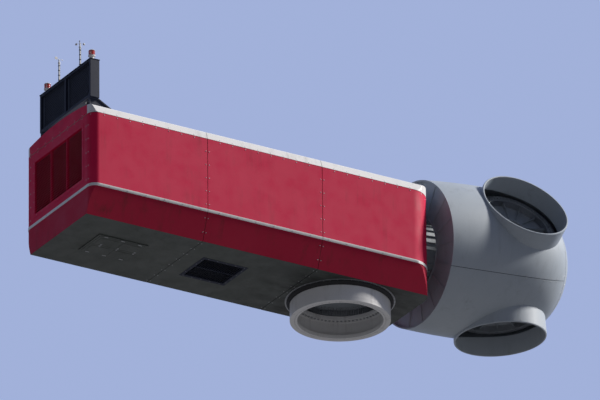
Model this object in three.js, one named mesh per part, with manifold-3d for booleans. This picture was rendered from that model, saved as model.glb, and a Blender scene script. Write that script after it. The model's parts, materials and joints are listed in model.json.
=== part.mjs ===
// Wind turbine nacelle with its hub and spinner, at real size.
// Millimetres, +Z up. Origin: centre of the underside of the tower-top flange.
// +X points forward to the rotor, +Y to the nacelle's left side.

import * as THREE from "three";
import { mergeVertices } from "three/addons/utils/BufferGeometryUtils.js";
import Module from "manifold-3d";

const wasm = await Module();
wasm.setup();

// Driving dimensions

const SEAT = 0.3; // gap that pieces resting on each other keep
const RUN = 10; // clearance beside pieces that move

const REAR_X = -9300; // rear wall of the housing
const FRONT_X = 2100; // front wall
const FLOOR_Z = 600; // flat bottom
const CREASE_Z = 1450; // where the slanting lower edge meets the upright side
const SIDE_TOP_Z = 3700; // top of the red side panels
const SHOULDER_Z = 3960; // top of the roof's upright edge
const CROWN_Z = 4120; // middle of the roof
const HALF_WIDTH = 1900; // half of the housing's width
const FLOOR_HALF = 1600; // half of the flat bottom's width
const SHOULDER_IN = 70; // how far the roof's edge leans in
const BEND_LOW = 60; // its bend into the roof starts this far under the shoulder
const BEND_IN = 120; // and ends this far inside
const BEND_RISE = 15; // and this far above
const FRONT_ROUND = 750; // corner radius of the housing in plan, at the front
const REAR_ROUND = 260; // the same at the rear
const WALL = 60; // sandwich wall of the housing
const REAR_JOINT_X = -5500; // joints between the three bays of panels
const FRONT_JOINT_X = -1700;

const TOWER_R = 1450; // tower top
const FLANGE_IN_R = 1240; // bore of the tower-top flange and of the yaw ring
const TOWER_TOP_Z = 700;
const YAW_TOP_Z = 900;
const FRAME_TOP_Z = 1500; // top of the cast main frame
const FRAME_FRONT_X = 1980; // its front end, and that of the main bearing's foot
const FRAME_REAR_X = -1800;

const TILT = THREE.MathUtils.degToRad(5); // rotor axis, nose up
const HUB_X = 5200; // hub centre ahead of the tower axis
const HUB_Z = 2900;
const BLADE_ANGLES = [180, 300, 60]; // from straight up, towards +Y
const HUB_R = 1900; // hub casting
const HUB_BACK = -1650; // along the rotor axis from the hub centre
const BLADE_FACE = 1400; // hub face under each blade bearing, from the axis
const RIM_OUT_R = 1290; // outer ring of the blade bearing
const RIM_IN_R = 1180;
const RIM_TOP = 1590;
const BLADE_FLANGE_TOP = 1640; // face that the blade bolts to
const SPINNER_WALL = 50;
const COLLAR_IN_R = 1300; // opening for the blade root
const COLLAR_WALL = 50;
const COLLAR_TOP = 2280;
const SPINNER_REAR = -2700;
const NOSE_JOINT = 1480;
const NOSE_TIP = 2100;
const HOUSING_R = 980; // main bearing housing
const SHAFT_R = 560;

const ROUND = 40; // facets of a large turned piece
const SMALL_ROUND = 16; // facets of a slim post or a lamp

const COOLER_X = -8930; // middle of the radiator
const COOLER_HALF = 1450;
const COOLER_LOW_Z = 4400;
const COOLER_TOP_Z = 5600;
const COOLER_DEPTH = 300;
const COOLER_BAR = 80;

// Finishes

const finish = (color, roughness, metalness = 0) => ({ color, roughness, metalness });
const RED = finish(0xa8283f, 0.45);
const LIGHT_GREY = finish(0xc9ccca, 0.5);
const FLOOR_GREY = finish(0xb4b7b2, 0.55);
const DARK_METAL = finish(0x23272e, 0.5, 0.4);
const CAST_GREY = finish(0x7c8286, 0.6, 0.3);
const STEEL = finish(0x9a9da0, 0.35, 0.9);
const RUBBER = finish(0x1b1c1e, 0.9);
const LAMP_RED = finish(0x9c1a14, 0.25);

// Solids: closed shapes that can be joined and cut

function solid(geometry, matrix = new THREE.Matrix4()) {
  const bare = new THREE.BufferGeometry();
  bare.setAttribute("position", geometry.getAttribute("position").clone());
  if (geometry.index) bare.setIndex(geometry.index.clone());
  bare.applyMatrix4(matrix);
  const merged = mergeVertices(bare, 1e-3);
  const index = merged.index.array;
  const keep = [];
  for (let i = 0; i < index.length; i += 3) {
    const [a, b, c] = [index[i], index[i + 1], index[i + 2]];
    if (a !== b && b !== c && c !== a) keep.push(a, b, c);
  }
  return new wasm.Manifold(
    new wasm.Mesh({
      numProp: 3,
      vertProperties: Float32Array.from(merged.getAttribute("position").array),
      triVerts: Uint32Array.from(keep),
    })
  );
}

function geometryOf(body) {
  const mesh = body.getMesh();
  const geometry = new THREE.BufferGeometry();
  geometry.setAttribute("position", new THREE.BufferAttribute(mesh.vertProperties, 3));
  geometry.setIndex(new THREE.BufferAttribute(mesh.triVerts, 1));
  geometry.computeVertexNormals();
  return geometry;
}

const place = (x, y, z) => new THREE.Matrix4().makeTranslation(x, y, z);

function box(x0, x1, y0, y1, z0, z1) {
  const geometry = new THREE.BoxGeometry(x1 - x0, y1 - y0, z1 - z0);
  return solid(geometry, place((x0 + x1) / 2, (y0 + y1) / 2, (z0 + z1) / 2));
}

// A flat outline in X and Y, raised from z0 to z1
function prism(outline, z0, z1, curveSegments = 10) {
  const geometry = new THREE.ExtrudeGeometry(outline, {
    depth: z1 - z0, bevelEnabled: false, curveSegments,
  });
  return solid(geometry, place(0, 0, z0));
}

// A body turned about +Z from [radius, height] points that close on themselves
function turned(points, segments, matrix = new THREE.Matrix4()) {
  const closed = [...points, points[0]].map(([r, h]) => new THREE.Vector2(r, h));
  const geometry = new THREE.LatheGeometry(closed, segments);
  return solid(geometry, new THREE.Matrix4().makeRotationX(Math.PI / 2).premultiply(matrix));
}

// A ring about +Z
const ring = (inner, outer, z0, z1, segments, matrix) =>
  turned([[inner, z0], [outer, z0], [outer, z1], [inner, z1]], segments, matrix);

// A round bar about +Z
function disc(radius, z0, z1, segments, matrix = new THREE.Matrix4()) {
  const geometry = new THREE.CylinderGeometry(radius, radius, z1 - z0, segments);
  const upright = new THREE.Matrix4().makeRotationX(Math.PI / 2);
  return solid(geometry, upright.premultiply(place(0, 0, (z0 + z1) / 2)).premultiply(matrix));
}

const joined = (bodies) => bodies.reduce((a, b) => a.add(b));

// The assembly

const nacelle = new THREE.Group();

function add(name, body, look) {
  const mesh = new THREE.Mesh(geometryOf(body), new THREE.MeshStandardMaterial(look));
  mesh.name = name;
  nacelle.add(mesh);
}

// Tower top: the end flange of the tower, with the yaw ring lying on it

add("tower_top_ring", ring(FLANGE_IN_R, TOWER_R, 0, TOWER_TOP_Z, ROUND), LIGHT_GREY);
add("yaw_ring", ring(FLANGE_IN_R, TOWER_R, TOWER_TOP_Z + SEAT, YAW_TOP_Z, ROUND), STEEL);

// Housing: outer and inner form, each a cross-section run along X, trimmed by the plan outline

function crossSection(inset) {
  const half = HALF_WIDTH - inset;
  const low = FLOOR_HALF - inset * 0.6; // keeps the slanting wall as thick as the others
  const shoulder = new THREE.Vector2(half - SHOULDER_IN, SHOULDER_Z - inset);
  const outline = new THREE.Shape();
  outline.moveTo(-low, FLOOR_Z + inset);
  outline.lineTo(low, FLOOR_Z + inset);
  outline.lineTo(half, CREASE_Z);
  outline.lineTo(half, SIDE_TOP_Z);
  const bend = new THREE.Vector2(shoulder.x - BEND_RISE, shoulder.y + BEND_RISE / 3);
  const edge = new THREE.Vector2(shoulder.x - BEND_IN, shoulder.y + BEND_RISE);
  outline.lineTo(shoulder.x, shoulder.y - BEND_LOW);
  outline.quadraticCurveTo(bend.x, bend.y, edge.x, edge.y);
  outline.quadraticCurveTo(0, 2 * (CROWN_Z - inset) - edge.y, -edge.x, edge.y);
  outline.quadraticCurveTo(-bend.x, bend.y, -shoulder.x, shoulder.y - BEND_LOW);
  outline.lineTo(-half, SIDE_TOP_Z);
  outline.lineTo(-half, CREASE_Z);
  outline.closePath();
  return outline;
}

function planOutline(inset) {
  const half = HALF_WIDTH - inset;
  const [rear, front] = [REAR_X + inset, FRONT_X - inset];
  const [rr, rf] = [REAR_ROUND - inset, FRONT_ROUND - inset];
  const outline = new THREE.Shape();
  outline.moveTo(rear + rr, -half);
  outline.lineTo(front - rf, -half);
  outline.absarc(front - rf, rf - half, rf, -Math.PI / 2, 0);
  outline.lineTo(front, half - rf);
  outline.absarc(front - rf, half - rf, rf, 0, Math.PI / 2);
  outline.lineTo(rear + rr, half);
  outline.absarc(rear + rr, half - rr, rr, Math.PI / 2, Math.PI);
  outline.lineTo(rear, rr - half);
  outline.absarc(rear + rr, rr - half, rr, Math.PI, 1.5 * Math.PI);
  return outline;
}

function housingForm(inset) {
  const run = prism(crossSection(inset), REAR_X - 100, FRONT_X + 100, 12);
  const alongX = run.transform([0, 1, 0, 0, 0, 0, 1, 0, 1, 0, 0, 0, 0, 0, 0, 1]);
  return alongX.intersect(prism(planOutline(inset), 0, CROWN_Z + 500, 8));
}

const outerForm = housingForm(0);
const innerForm = housingForm(WALL);
const shell = outerForm.subtract(innerForm);

// Rotor axis: local +Z runs along the axis, from the hub centre towards the nose

const rotorFrame = new THREE.Matrix4()
  .makeTranslation(HUB_X, 0, HUB_Z)
  .multiply(new THREE.Matrix4().makeRotationY(Math.PI / 2 - TILT));

// Main bearing housing: a tube on the rotor axis with a foot on the main frame

const HOUSING_FRONT = -2100;
const HOUSING_BACK = -3700;
const SHAFT_BACK = HOUSING_BACK - 60;
const FOOT_REAR_X = 1460;
const FOOT_TOP_Z = 2400;
const FOOT_HALF = 850;

const bearingTube = disc(HOUSING_R, HOUSING_BACK, HOUSING_FRONT, ROUND, rotorFrame);
const foot = box(
  FOOT_REAR_X, FRAME_FRONT_X, -FOOT_HALF, FOOT_HALF, FRAME_TOP_Z + SEAT, FOOT_TOP_Z);
const bearingHousing = bearingTube
  .add(foot)
  .subtract(disc(SHAFT_R + RUN, HOUSING_BACK - 500, HOUSING_FRONT + 100, ROUND, rotorFrame));
add("main_bearing_housing", bearingHousing, CAST_GREY);

// Panels of the housing

const BEYOND = 500; // further than the housing's ends
const INTO = 400; // from an end wall inwards, past its thickness
const bays = [
  ["rear", REAR_X - BEYOND, REAR_JOINT_X],
  ["middle", REAR_JOINT_X + SEAT, FRONT_JOINT_X],
  ["front", FRONT_JOINT_X + SEAT, FRONT_X + BEYOND],
];
const END_HALF = { rear: HALF_WIDTH - REAR_ROUND, front: HALF_WIDTH - FRONT_ROUND };
const rearWallCut = box(REAR_X - 1, REAR_X + INTO, -END_HALF.rear - SEAT, END_HALF.rear + SEAT,
  CREASE_Z - 1, SIDE_TOP_Z + 1);
const frontWallCut = box(FRONT_X - INTO, FRONT_X + 1, -END_HALF.front - SEAT, END_HALF.front + SEAT,
  CREASE_Z - 1, SIDE_TOP_Z + 1);

const throughFloor = [FLOOR_Z - WALL, FLOOR_Z + 2 * WALL];
const towerHole = disc(TOWER_R + 100, ...throughFloor, ROUND);
const intake = { x0: -4900, x1: -3500, half: 650 };
const intakeHole = box(intake.x0, intake.x1, -intake.half, intake.half, ...throughFloor);

for (const [bay, x0, x1] of bays) {
  add(`roof_${bay}`, shell.intersect(
    box(x0, x1, -HALF_WIDTH - 1, HALF_WIDTH + 1, SIDE_TOP_Z + SEAT, CROWN_Z + 100)), LIGHT_GREY);
  for (const [side, y0, y1] of [["left", 0, HALF_WIDTH + 1], ["right", -HALF_WIDTH - 1, 0]]) {
    let panel = shell.intersect(box(x0, x1, y0, y1, CREASE_Z + SEAT, SIDE_TOP_Z));
    if (bay === "rear") panel = panel.subtract(rearWallCut);
    if (bay === "front") panel = panel.subtract(frontWallCut);
    add(`side_${side}_${bay}`, panel, RED);
  }
  let tray = shell.intersect(
    box(x0, x1, -HALF_WIDTH - 1, HALF_WIDTH + 1, FLOOR_Z - 1, CREASE_Z));
  if (bay === "middle") tray = tray.subtract(intakeHole);
  if (bay === "front") tray = tray.subtract(towerHole);
  add(`lower_shell_${bay}`, tray, FLOOR_GREY);
}

const shaftHole = disc(HOUSING_R + 2 * SEAT, HOUSING_BACK, HOUSING_FRONT, ROUND, rotorFrame);
add("front_wall", shell
  .intersect(box(FRONT_X - INTO, FRONT_X + 1, -END_HALF.front, END_HALF.front,
    CREASE_Z + SEAT, SIDE_TOP_Z))
  .subtract(shaftHole), RED);

const outlet = { half: 1400, z0: 1700, z1: 3450 };
const outletHole = box(
  REAR_X - WALL, REAR_X + INTO, -outlet.half, outlet.half, outlet.z0, outlet.z1);
add("rear_wall", shell
  .intersect(box(REAR_X - 1, REAR_X + INTO, -END_HALF.rear, END_HALF.rear,
    CREASE_Z + SEAT, SIDE_TOP_Z))
  .subtract(outletHole), RED);

// Grilles: a frame with slanting blades, fused into one piece that fills its opening

const BLADE_THICK = 10;

function grille(width, height, depth, count) {
  const rim = 60;
  const frame = box(-width / 2, width / 2, -height / 2, height / 2, 0, depth)
    .subtract(box(rim - width / 2, width / 2 - rim, rim - height / 2, height / 2 - rim, -1, depth + 1));
  const blades = [];
  const pitch = (height - 2 * rim) / count;
  const slant = new THREE.Matrix4().makeRotationX(THREE.MathUtils.degToRad(50));
  for (let i = 0; i < count; i += 1) {
    const geometry = new THREE.BoxGeometry(width - rim, BLADE_THICK, depth * 0.9);
    const y = rim - height / 2 + (i + 0.5) * pitch;
    blades.push(solid(geometry, slant.clone().premultiply(place(0, y, depth / 2))));
  }
  return joined([frame, ...blades]);
}

const GRILLE_PLAY = 2 * SEAT;
const REAR_BLADES = 22;
const FLOOR_BLADES = 18;
const rearGrille = grille(
  2 * outlet.half - GRILLE_PLAY, outlet.z1 - outlet.z0 - GRILLE_PLAY, WALL, REAR_BLADES);
// The grille's own X, Y, Z become the wall's -Y, +Z, -X
add("rear_grille", rearGrille.transform([
  0, -1, 0, 0, 0, 0, 1, 0, -1, 0, 0, 0, REAR_X + WALL, 0, (outlet.z0 + outlet.z1) / 2, 1,
]), RED);
const floorGrille = grille(
  2 * intake.half - GRILLE_PLAY, intake.x1 - intake.x0 - GRILLE_PLAY, WALL, FLOOR_BLADES);
// The grille's own X, Y, Z become the floor's -Y, +X, +Z
add("floor_grille", floorGrille.transform([
  0, -1, 0, 0, 1, 0, 0, 0, 0, 0, 1, 0, (intake.x0 + intake.x1) / 2, 0, FLOOR_Z, 1,
]), DARK_METAL);

// Frames that carry the housing

const FRAME_LOW_Z = YAW_TOP_Z + SEAT + 60; // its underside beyond the yaw ring
const NOSE_HALF = 1000; // half of its width ahead of the tower
const TAIL_HALF = 1150; // half of its width behind the tower
const MANWAY_R = 600;
const frameBase = disc(TOWER_R, YAW_TOP_Z + SEAT, FRAME_TOP_Z, ROUND);
const frameNose = box(0, FRAME_FRONT_X, -NOSE_HALF, NOSE_HALF, FRAME_LOW_Z, FRAME_TOP_Z);
const frameTail = box(FRAME_REAR_X, 0, -TAIL_HALF, TAIL_HALF, FRAME_LOW_Z, FRAME_TOP_Z);
const manway = disc(MANWAY_R, YAW_TOP_Z - BEYOND, FRAME_TOP_Z + BEYOND, ROUND);
add("main_frame", frameBase.add(frameNose).add(frameTail).subtract(manway), CAST_GREY);

const GIRDER_LOW_Z = FLOOR_Z + WALL + SEAT;
const GIRDER_TOP_Z = 1100;
const GIRDER_Y = 900;
const GIRDER_HALF = 150;
const CROSS_XS = [-8900, -5500, -2300]; // members across the girders
const CROSS_HALF = 100;
const CROSS_REACH = 1100;
const CROSS_TOP_Z = 1000;
const girders = [];
for (const y of [-GIRDER_Y, GIRDER_Y]) {
  girders.push(box(REAR_X + WALL + SEAT, FRAME_REAR_X - SEAT, y - GIRDER_HALF, y + GIRDER_HALF,
    GIRDER_LOW_Z, GIRDER_TOP_Z));
}
for (const x of CROSS_XS) {
  girders.push(box(
    x - CROSS_HALF, x + CROSS_HALF, -CROSS_REACH, CROSS_REACH, GIRDER_LOW_Z, CROSS_TOP_Z));
}
add("rear_frame", joined(girders), CAST_GREY);

// Weather skirt round the tower top, hanging from the floor

const SKIRT_OUT_R = TOWER_R + 140;
const SKIRT_DROP = 130;
add("yaw_skirt", ring(
  TOWER_R + RUN, SKIRT_OUT_R, FLOOR_Z - SKIRT_DROP, FLOOR_Z - SEAT, ROUND), RUBBER);

// Lids

const seatOnRoof = (body) => body.subtract(outerForm.translate([0, 0, SEAT]));

const roofHatch = { halfLength: 550, half: 450, rise: 70 };
for (const [name, x] of [["roof_hatch_front", -700], ["roof_hatch_rear", -6600]]) {
  const { halfLength, half, rise } = roofHatch;
  add(name, seatOnRoof(box(
    x - halfLength, x + halfLength, -half, half, CROWN_Z - 100, CROWN_Z + rise)), LIGHT_GREY);
}
const craneHatch = { x0: -8300, x1: -6700, half: 600, thick: 40 };
add("floor_hatch", box(craneHatch.x0, craneHatch.x1, -craneHatch.half, craneHatch.half,
  FLOOR_Z - craneHatch.thick, FLOOR_Z - SEAT), FLOOR_GREY);

// Radiator across the rear of the roof, raised on two legs

const [coolerRear, coolerFront] = [COOLER_X - COOLER_DEPTH / 2, COOLER_X + COOLER_DEPTH / 2];
const CORE_IN = 60; // how far the cores stand back in the frame
let coolerFrame = box(coolerRear, coolerFront, -COOLER_HALF, COOLER_HALF, COOLER_LOW_Z, COOLER_TOP_Z);
for (const side of [-1, 1]) {
  const [a, b] = [side * (COOLER_BAR / 2), side * (COOLER_HALF - COOLER_BAR)];
  coolerFrame = coolerFrame.subtract(box(coolerRear - 1, coolerFront + 1,
    Math.min(a, b), Math.max(a, b), COOLER_LOW_Z + COOLER_BAR, COOLER_TOP_Z - COOLER_BAR));
}
add("cooler_frame", coolerFrame, DARK_METAL);
for (const [name, side] of [["left", 1], ["right", -1]]) {
  const [a, b] = [side * (COOLER_BAR / 2 + SEAT), side * (COOLER_HALF - COOLER_BAR - SEAT)];
  add(`cooler_core_${name}`, box(coolerRear + CORE_IN, coolerFront - CORE_IN,
    Math.min(a, b), Math.max(a, b),
    COOLER_LOW_Z + COOLER_BAR + SEAT, COOLER_TOP_Z - COOLER_BAR - SEAT), DARK_METAL);
}

const LEG_THICK = 70;
const LEG_REACH = 500; // how far the leg's foot runs forward
const LEG_TOE = 60; // height of the foot's front end
const LEG_LOW_Z = CROWN_Z - 200; // where the outline starts, below the roof
const LEG_Y = COOLER_HALF - 80;
function coolerLeg(side) {
  const top = COOLER_LOW_Z - LEG_LOW_Z - SEAT;
  const outline = new THREE.Shape();
  outline.moveTo(coolerRear, 0);
  outline.lineTo(coolerFront + LEG_REACH, 0);
  outline.lineTo(coolerFront + LEG_REACH, LEG_TOE);
  outline.lineTo(coolerFront, top);
  outline.lineTo(coolerRear, top);
  const plate = prism(outline, -LEG_THICK / 2, LEG_THICK / 2);
  // The outline's X, Y become X, Z; the thickness runs along -Y
  return seatOnRoof(
    plate.transform([1, 0, 0, 0, 0, 0, 1, 0, 0, -1, 0, 0, 0, side * LEG_Y, LEG_LOW_Z, 1]));
}
add("cooler_leg_left", coolerLeg(1), DARK_METAL);
add("cooler_leg_right", coolerLeg(-1), DARK_METAL);

// Lights and wind sensors on the radiator's top bar

const BAR_Z = COOLER_TOP_Z + SEAT;
const lamp = { y: 1270, footR: 120, foot: 30, postR: 70, post: 140, lensR: 105, top: 360 };
for (const [name, side] of [["left", 1], ["right", -1]]) {
  const at = place(COOLER_X, side * lamp.y, BAR_Z);
  add(`obstruction_light_${name}`, joined([
    disc(lamp.footR, 0, lamp.foot, SMALL_ROUND, at),
    disc(lamp.postR, 0, lamp.post, SMALL_ROUND, at),
    disc(lamp.lensR, lamp.post, lamp.top, SMALL_ROUND, at),
  ]), LAMP_RED);
}

const sensors = {
  barHalf: 60, barReach: 700, bar: 40, y: 600, mastR: 25, headR: 60, head: 680, top: 900,
};
const sensorParts = [box(COOLER_X - sensors.barHalf, COOLER_X + sensors.barHalf,
  -sensors.barReach, sensors.barReach, BAR_Z, BAR_Z + sensors.bar)];
for (const side of [-1, 1]) {
  const at = place(COOLER_X, side * sensors.y, BAR_Z);
  sensorParts.push(disc(sensors.mastR, sensors.bar / 2, sensors.head + 20, 8, at));
  sensorParts.push(disc(sensors.headR, sensors.head, sensors.top, 12, at));
}
add("wind_sensors", joined(sensorParts), LIGHT_GREY);

// Rotor, built along its own axis and set on the rotor frame

const onAxis = (u0, u1, radius, segments) => disc(radius, u0, u1, segments, rotorFrame);

const SHAFT_FLANGE_R = 900; // flange that the hub is bolted to
add("main_shaft", onAxis(HOUSING_FRONT + SEAT, HUB_BACK - SEAT, SHAFT_FLANGE_R, ROUND)
  .add(onAxis(SHAFT_BACK, HOUSING_FRONT + 50, SHAFT_R, ROUND)), STEEL);

// Spinner outline: radius at a distance u along the axis from the hub centre
const SPINNER_R = 2230;
const SPINNER_WIDEST = -1000; // where the radius is greatest
const SPINNER_TAPER = 60; // how much narrower the rear edge is
function spinnerRadius(u, inset = 0) {
  const [full, tip] = [SPINNER_R - inset, NOSE_TIP - inset];
  const ahead = u - SPINNER_WIDEST;
  if (ahead <= 0) return full - SPINNER_TAPER * (ahead / (SPINNER_REAR - SPINNER_WIDEST)) ** 2;
  return full * Math.sqrt(Math.max(1 - (ahead / (tip - SPINNER_WIDEST)) ** 3.2, 0));
}

function spinnerForm(inset, rear, stations = 11) {
  const tip = NOSE_TIP - inset;
  const points = [new THREE.Vector2(0, rear)];
  for (let i = 0; i <= stations; i += 1) {
    const u = rear + (tip - rear) * Math.sin((Math.PI / 2) * (i / stations));
    points.push(new THREE.Vector2(i === stations ? 0 : spinnerRadius(u, inset), u));
  }
  const geometry = new THREE.LatheGeometry(points, ROUND);
  return solid(geometry, new THREE.Matrix4().makeRotationX(Math.PI / 2));
}

const hollow = spinnerForm(SPINNER_WALL, SPINNER_REAR - 10);
const spinnerShell = spinnerForm(0, SPINNER_REAR).subtract(hollow);
const spinnerInside = spinnerForm(SPINNER_WALL + SEAT, SPINNER_REAR - 10);

// Blade frame in the rotor's own axes: local +Z runs out along the blade axis
function bladeFrame(angle) {
  const a = THREE.MathUtils.degToRad(angle);
  const out = new THREE.Vector3(-Math.cos(a), Math.sin(a), 0);
  const along = new THREE.Vector3(0, 0, 1);
  return new THREE.Matrix4().makeBasis(along, new THREE.Vector3().crossVectors(out, along), out);
}

const inWorld = (body) => body.transform(rotorFrame.elements.slice());
const FAR = 6000;

// A wedge of the rotor between two angles either side of a blade
function wedge(angle) {
  const half = THREE.MathUtils.degToRad(60);
  const inset = SEAT / 2;
  const outline = new THREE.Shape();
  outline.moveTo(inset / Math.sin(half), 0);
  outline.lineTo(FAR * Math.cos(half) + inset, FAR * Math.sin(half));
  outline.lineTo(FAR, 0);
  outline.lineTo(FAR * Math.cos(half) + inset, -FAR * Math.sin(half));
  const a = THREE.MathUtils.degToRad(angle);
  const turn = Math.atan2(Math.sin(a), -Math.cos(a));
  const body = prism(outline, SPINNER_REAR - 100, NOSE_JOINT);
  return body.rotate([0, 0, THREE.MathUtils.radToDeg(turn)]);
}

const HUB_FRONT = 1500;
const RIM_ROOT = BLADE_FACE - 60; // the rims start inside the casting
const COLLAR_ROOT = BLADE_FACE - 200; // the collars start inside the spinner
const hubParts = [];
let hub = solid(new THREE.SphereGeometry(HUB_R, 24, 14))
  .intersect(disc(FAR, HUB_BACK, HUB_FRONT, 8));
for (const [i, angle] of BLADE_ANGLES.entries()) {
  const frame = bladeFrame(angle);
  hub = hub.subtract(disc(HUB_R, BLADE_FACE, FAR, 8, frame));
  hubParts.push(ring(RIM_IN_R, RIM_OUT_R, RIM_ROOT, RIM_TOP, ROUND, frame));
  const collar = disc(COLLAR_IN_R + COLLAR_WALL, COLLAR_ROOT, COLLAR_TOP, ROUND, frame)
    .subtract(hollow);
  const opening = disc(COLLAR_IN_R, 0, FAR, ROUND, frame);
  add(`spinner_segment_${i + 1}`, inWorld(
    spinnerShell.intersect(wedge(angle)).add(collar).subtract(opening)), LIGHT_GREY);
}

// Arms between the blades carry the spinner
const spoke = { rear: -600, front: 300, half: 90, root: 1200, tip: 2400 };
for (const angle of BLADE_ANGLES) {
  const arm = box(spoke.rear, spoke.front, -spoke.half, spoke.half, spoke.root, spoke.tip)
    .transform(bladeFrame(angle + 60).elements.slice());
  hubParts.push(arm.intersect(spinnerInside));
}
add("hub_casting", inWorld(joined([hub, ...hubParts])), CAST_GREY);

add("spinner_nose", inWorld(
  spinnerShell.intersect(disc(FAR, NOSE_JOINT + SEAT, NOSE_TIP + 100, 8))), LIGHT_GREY);

const BACK_IN_R = HOUSING_R + 120;
const BACK_REAR = SPINNER_REAR + 60;
const BACK_THICK = 50;
add("spinner_back", inWorld(spinnerInside.intersect(
  ring(BACK_IN_R, FAR, BACK_REAR, BACK_REAR + BACK_THICK, ROUND))), LIGHT_GREY);

// Blade flanges: the turning inner rings of the blade bearings, closed by a plate with a manhole

const BLADE_FLANGE_R = RIM_IN_R - RUN;
const BLADE_BORE_R = 1000;
const MANHOLE_R = 300;
const PLATE_TOP = BLADE_FACE + 80;
for (const [i, angle] of BLADE_ANGLES.entries()) {
  const flange = turned([
    [MANHOLE_R, BLADE_FACE + SEAT], [BLADE_FLANGE_R, BLADE_FACE + SEAT],
    [BLADE_FLANGE_R, BLADE_FLANGE_TOP], [BLADE_BORE_R, BLADE_FLANGE_TOP],
    [BLADE_BORE_R, PLATE_TOP], [MANHOLE_R, PLATE_TOP],
  ], ROUND, bladeFrame(angle));
  add(`blade_flange_${i + 1}`, inWorld(flange), STEEL);
}

export default nacelle;
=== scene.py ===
# %% [markdown]
# # Wind turbine nacelle
# The machine house of a wind turbine with its hub and spinner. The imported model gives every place
# and size. This lesson dresses it: painted panels with seams and screws, a radiator with fins,
# louvres, lamps and sensors, and a spinner with its three blade seats.

# %% The fixed frame
import json
import math

import bmesh
import bpy
from mathutils import Matrix, Vector
from mathutils.bvhtree import BVHTree


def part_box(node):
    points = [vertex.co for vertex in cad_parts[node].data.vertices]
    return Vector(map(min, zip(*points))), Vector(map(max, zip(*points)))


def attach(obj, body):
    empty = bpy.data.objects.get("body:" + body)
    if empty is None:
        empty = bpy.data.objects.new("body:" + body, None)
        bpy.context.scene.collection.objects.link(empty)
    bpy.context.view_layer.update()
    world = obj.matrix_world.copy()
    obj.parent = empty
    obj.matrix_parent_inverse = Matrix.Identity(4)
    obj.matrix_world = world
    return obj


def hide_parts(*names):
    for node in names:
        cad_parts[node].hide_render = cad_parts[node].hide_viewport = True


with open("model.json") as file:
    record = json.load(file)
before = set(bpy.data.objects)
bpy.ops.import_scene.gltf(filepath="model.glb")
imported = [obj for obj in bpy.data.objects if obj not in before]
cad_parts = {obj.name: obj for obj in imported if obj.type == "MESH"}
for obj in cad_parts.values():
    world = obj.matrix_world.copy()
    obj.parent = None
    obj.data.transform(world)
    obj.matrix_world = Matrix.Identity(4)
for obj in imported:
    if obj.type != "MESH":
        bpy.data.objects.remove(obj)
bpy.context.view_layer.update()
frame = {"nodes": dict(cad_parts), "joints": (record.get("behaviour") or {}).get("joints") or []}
print("nodes in the frame:", len(frame["nodes"]))

# %% [markdown]
# ## The camera
# The photograph was taken from far away and below the nacelle, from behind its right-hand side. A
# long lens from 350 m keeps the flat, almost parallel view. The picture is fitted to the corners of
# all nodes, seen along that direction.

# %% The camera
AZIMUTH = math.radians(-31)
ELEVATION = math.radians(-25)
RANGE = 350.0
ROLL = math.radians(-0.55)
FILL = 0.9  # share of the picture that the object spans
PICTURE = Vector((600, 400))

back = Vector((math.sin(AZIMUTH) * math.cos(ELEVATION),
               -math.cos(AZIMUTH) * math.cos(ELEVATION), math.sin(ELEVATION)))
level = Vector((math.cos(AZIMUTH), math.sin(AZIMUTH), 0))
upright = back.cross(level)
right = level * math.cos(ROLL) + upright * math.sin(ROLL)
up = upright * math.cos(ROLL) - level * math.sin(ROLL)


def axes(x, y, origin=(0, 0, 0)):
    """A frame from two of its axes and its origin."""
    x, y = Vector(x), Vector(y)
    return Matrix.Translation(origin) @ Matrix((x, y, x.cross(y))).transposed().to_4x4()


def span(direction):
    """Lowest and highest place of the nodes' corners along a direction."""
    reach = [vert.co.dot(direction)
             for one in frame["nodes"].values() for vert in one.data.vertices]
    return min(reach), max(reach)


# %% The camera, fitted to the object
across, along = span(right), span(up)
middle = right * sum(across) / 2 + up * sum(along) / 2 + back * sum(span(back)) / 2
width = max(across[1] - across[0], (along[1] - along[0]) * PICTURE.x / PICTURE.y) / FILL

camera = bpy.data.objects.new("camera", bpy.data.cameras.new("camera"))
bpy.context.scene.collection.objects.link(camera)
camera.data.sensor_width = 36
camera.data.lens = camera.data.sensor_width * RANGE / width
camera.data.clip_end = 40 * RANGE
camera.matrix_world = axes(right, up, middle + back * RANGE)
bpy.context.scene.camera = camera
print(f"the picture is {width:.1f} m wide, through a lens of {camera.data.lens:.0f} mm")

# %% [markdown]
# ## Light
# The sun stands ahead of the nacelle, a little to its right and half-way up. So the nose and the
# roof are bright, the red side is lit at a flat angle, and the rear, the slanting lower edge and
# the underside lie in shade. The sky is pale on the side of the nose and darker behind the rear.
# The floor is far below, and throws a little light up to the underside. Past its edge lies haze.

# %% Light: values and shader helpers
SUN_FROM = Vector((0.735, -0.25, 0.63))
SUN_POWER, SUN_SPREAD = 5.4, 10
SKY_PALE = (0.36, 0.44, 0.70, 1)
SKY_DEEP = (0.055, 0.07, 0.115, 1)
HAZE = (0.40, 0.43, 0.47, 1)


def node(tree, kind, inputs=None, **settings):
    """A shader node with its settings, and its inputs linked or set."""
    new = tree.nodes.new("ShaderNode" + kind)
    for key, value in settings.items():
        setattr(new, key, value)
    for socket, value in (inputs or {}).items():
        if isinstance(value, bpy.types.NodeSocket):
            tree.links.new(value, new.inputs[socket])
        else:
            new.inputs[socket].default_value = value
    return new


def levels(tree, value, low, high, out_low=0.0, out_high=1.0):
    """A value spread between two limits."""
    return node(tree, "MapRange", {"Value": value, "From Min": low, "From Max": high,
                                   "To Min": out_low, "To Max": out_high}).outputs["Result"]


def mix(tree, amount, first, second):
    """Two colours mixed by an amount."""
    return node(tree, "Mix", {0: amount, 6: first, 7: second}, data_type="RGBA").outputs[2]


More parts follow.
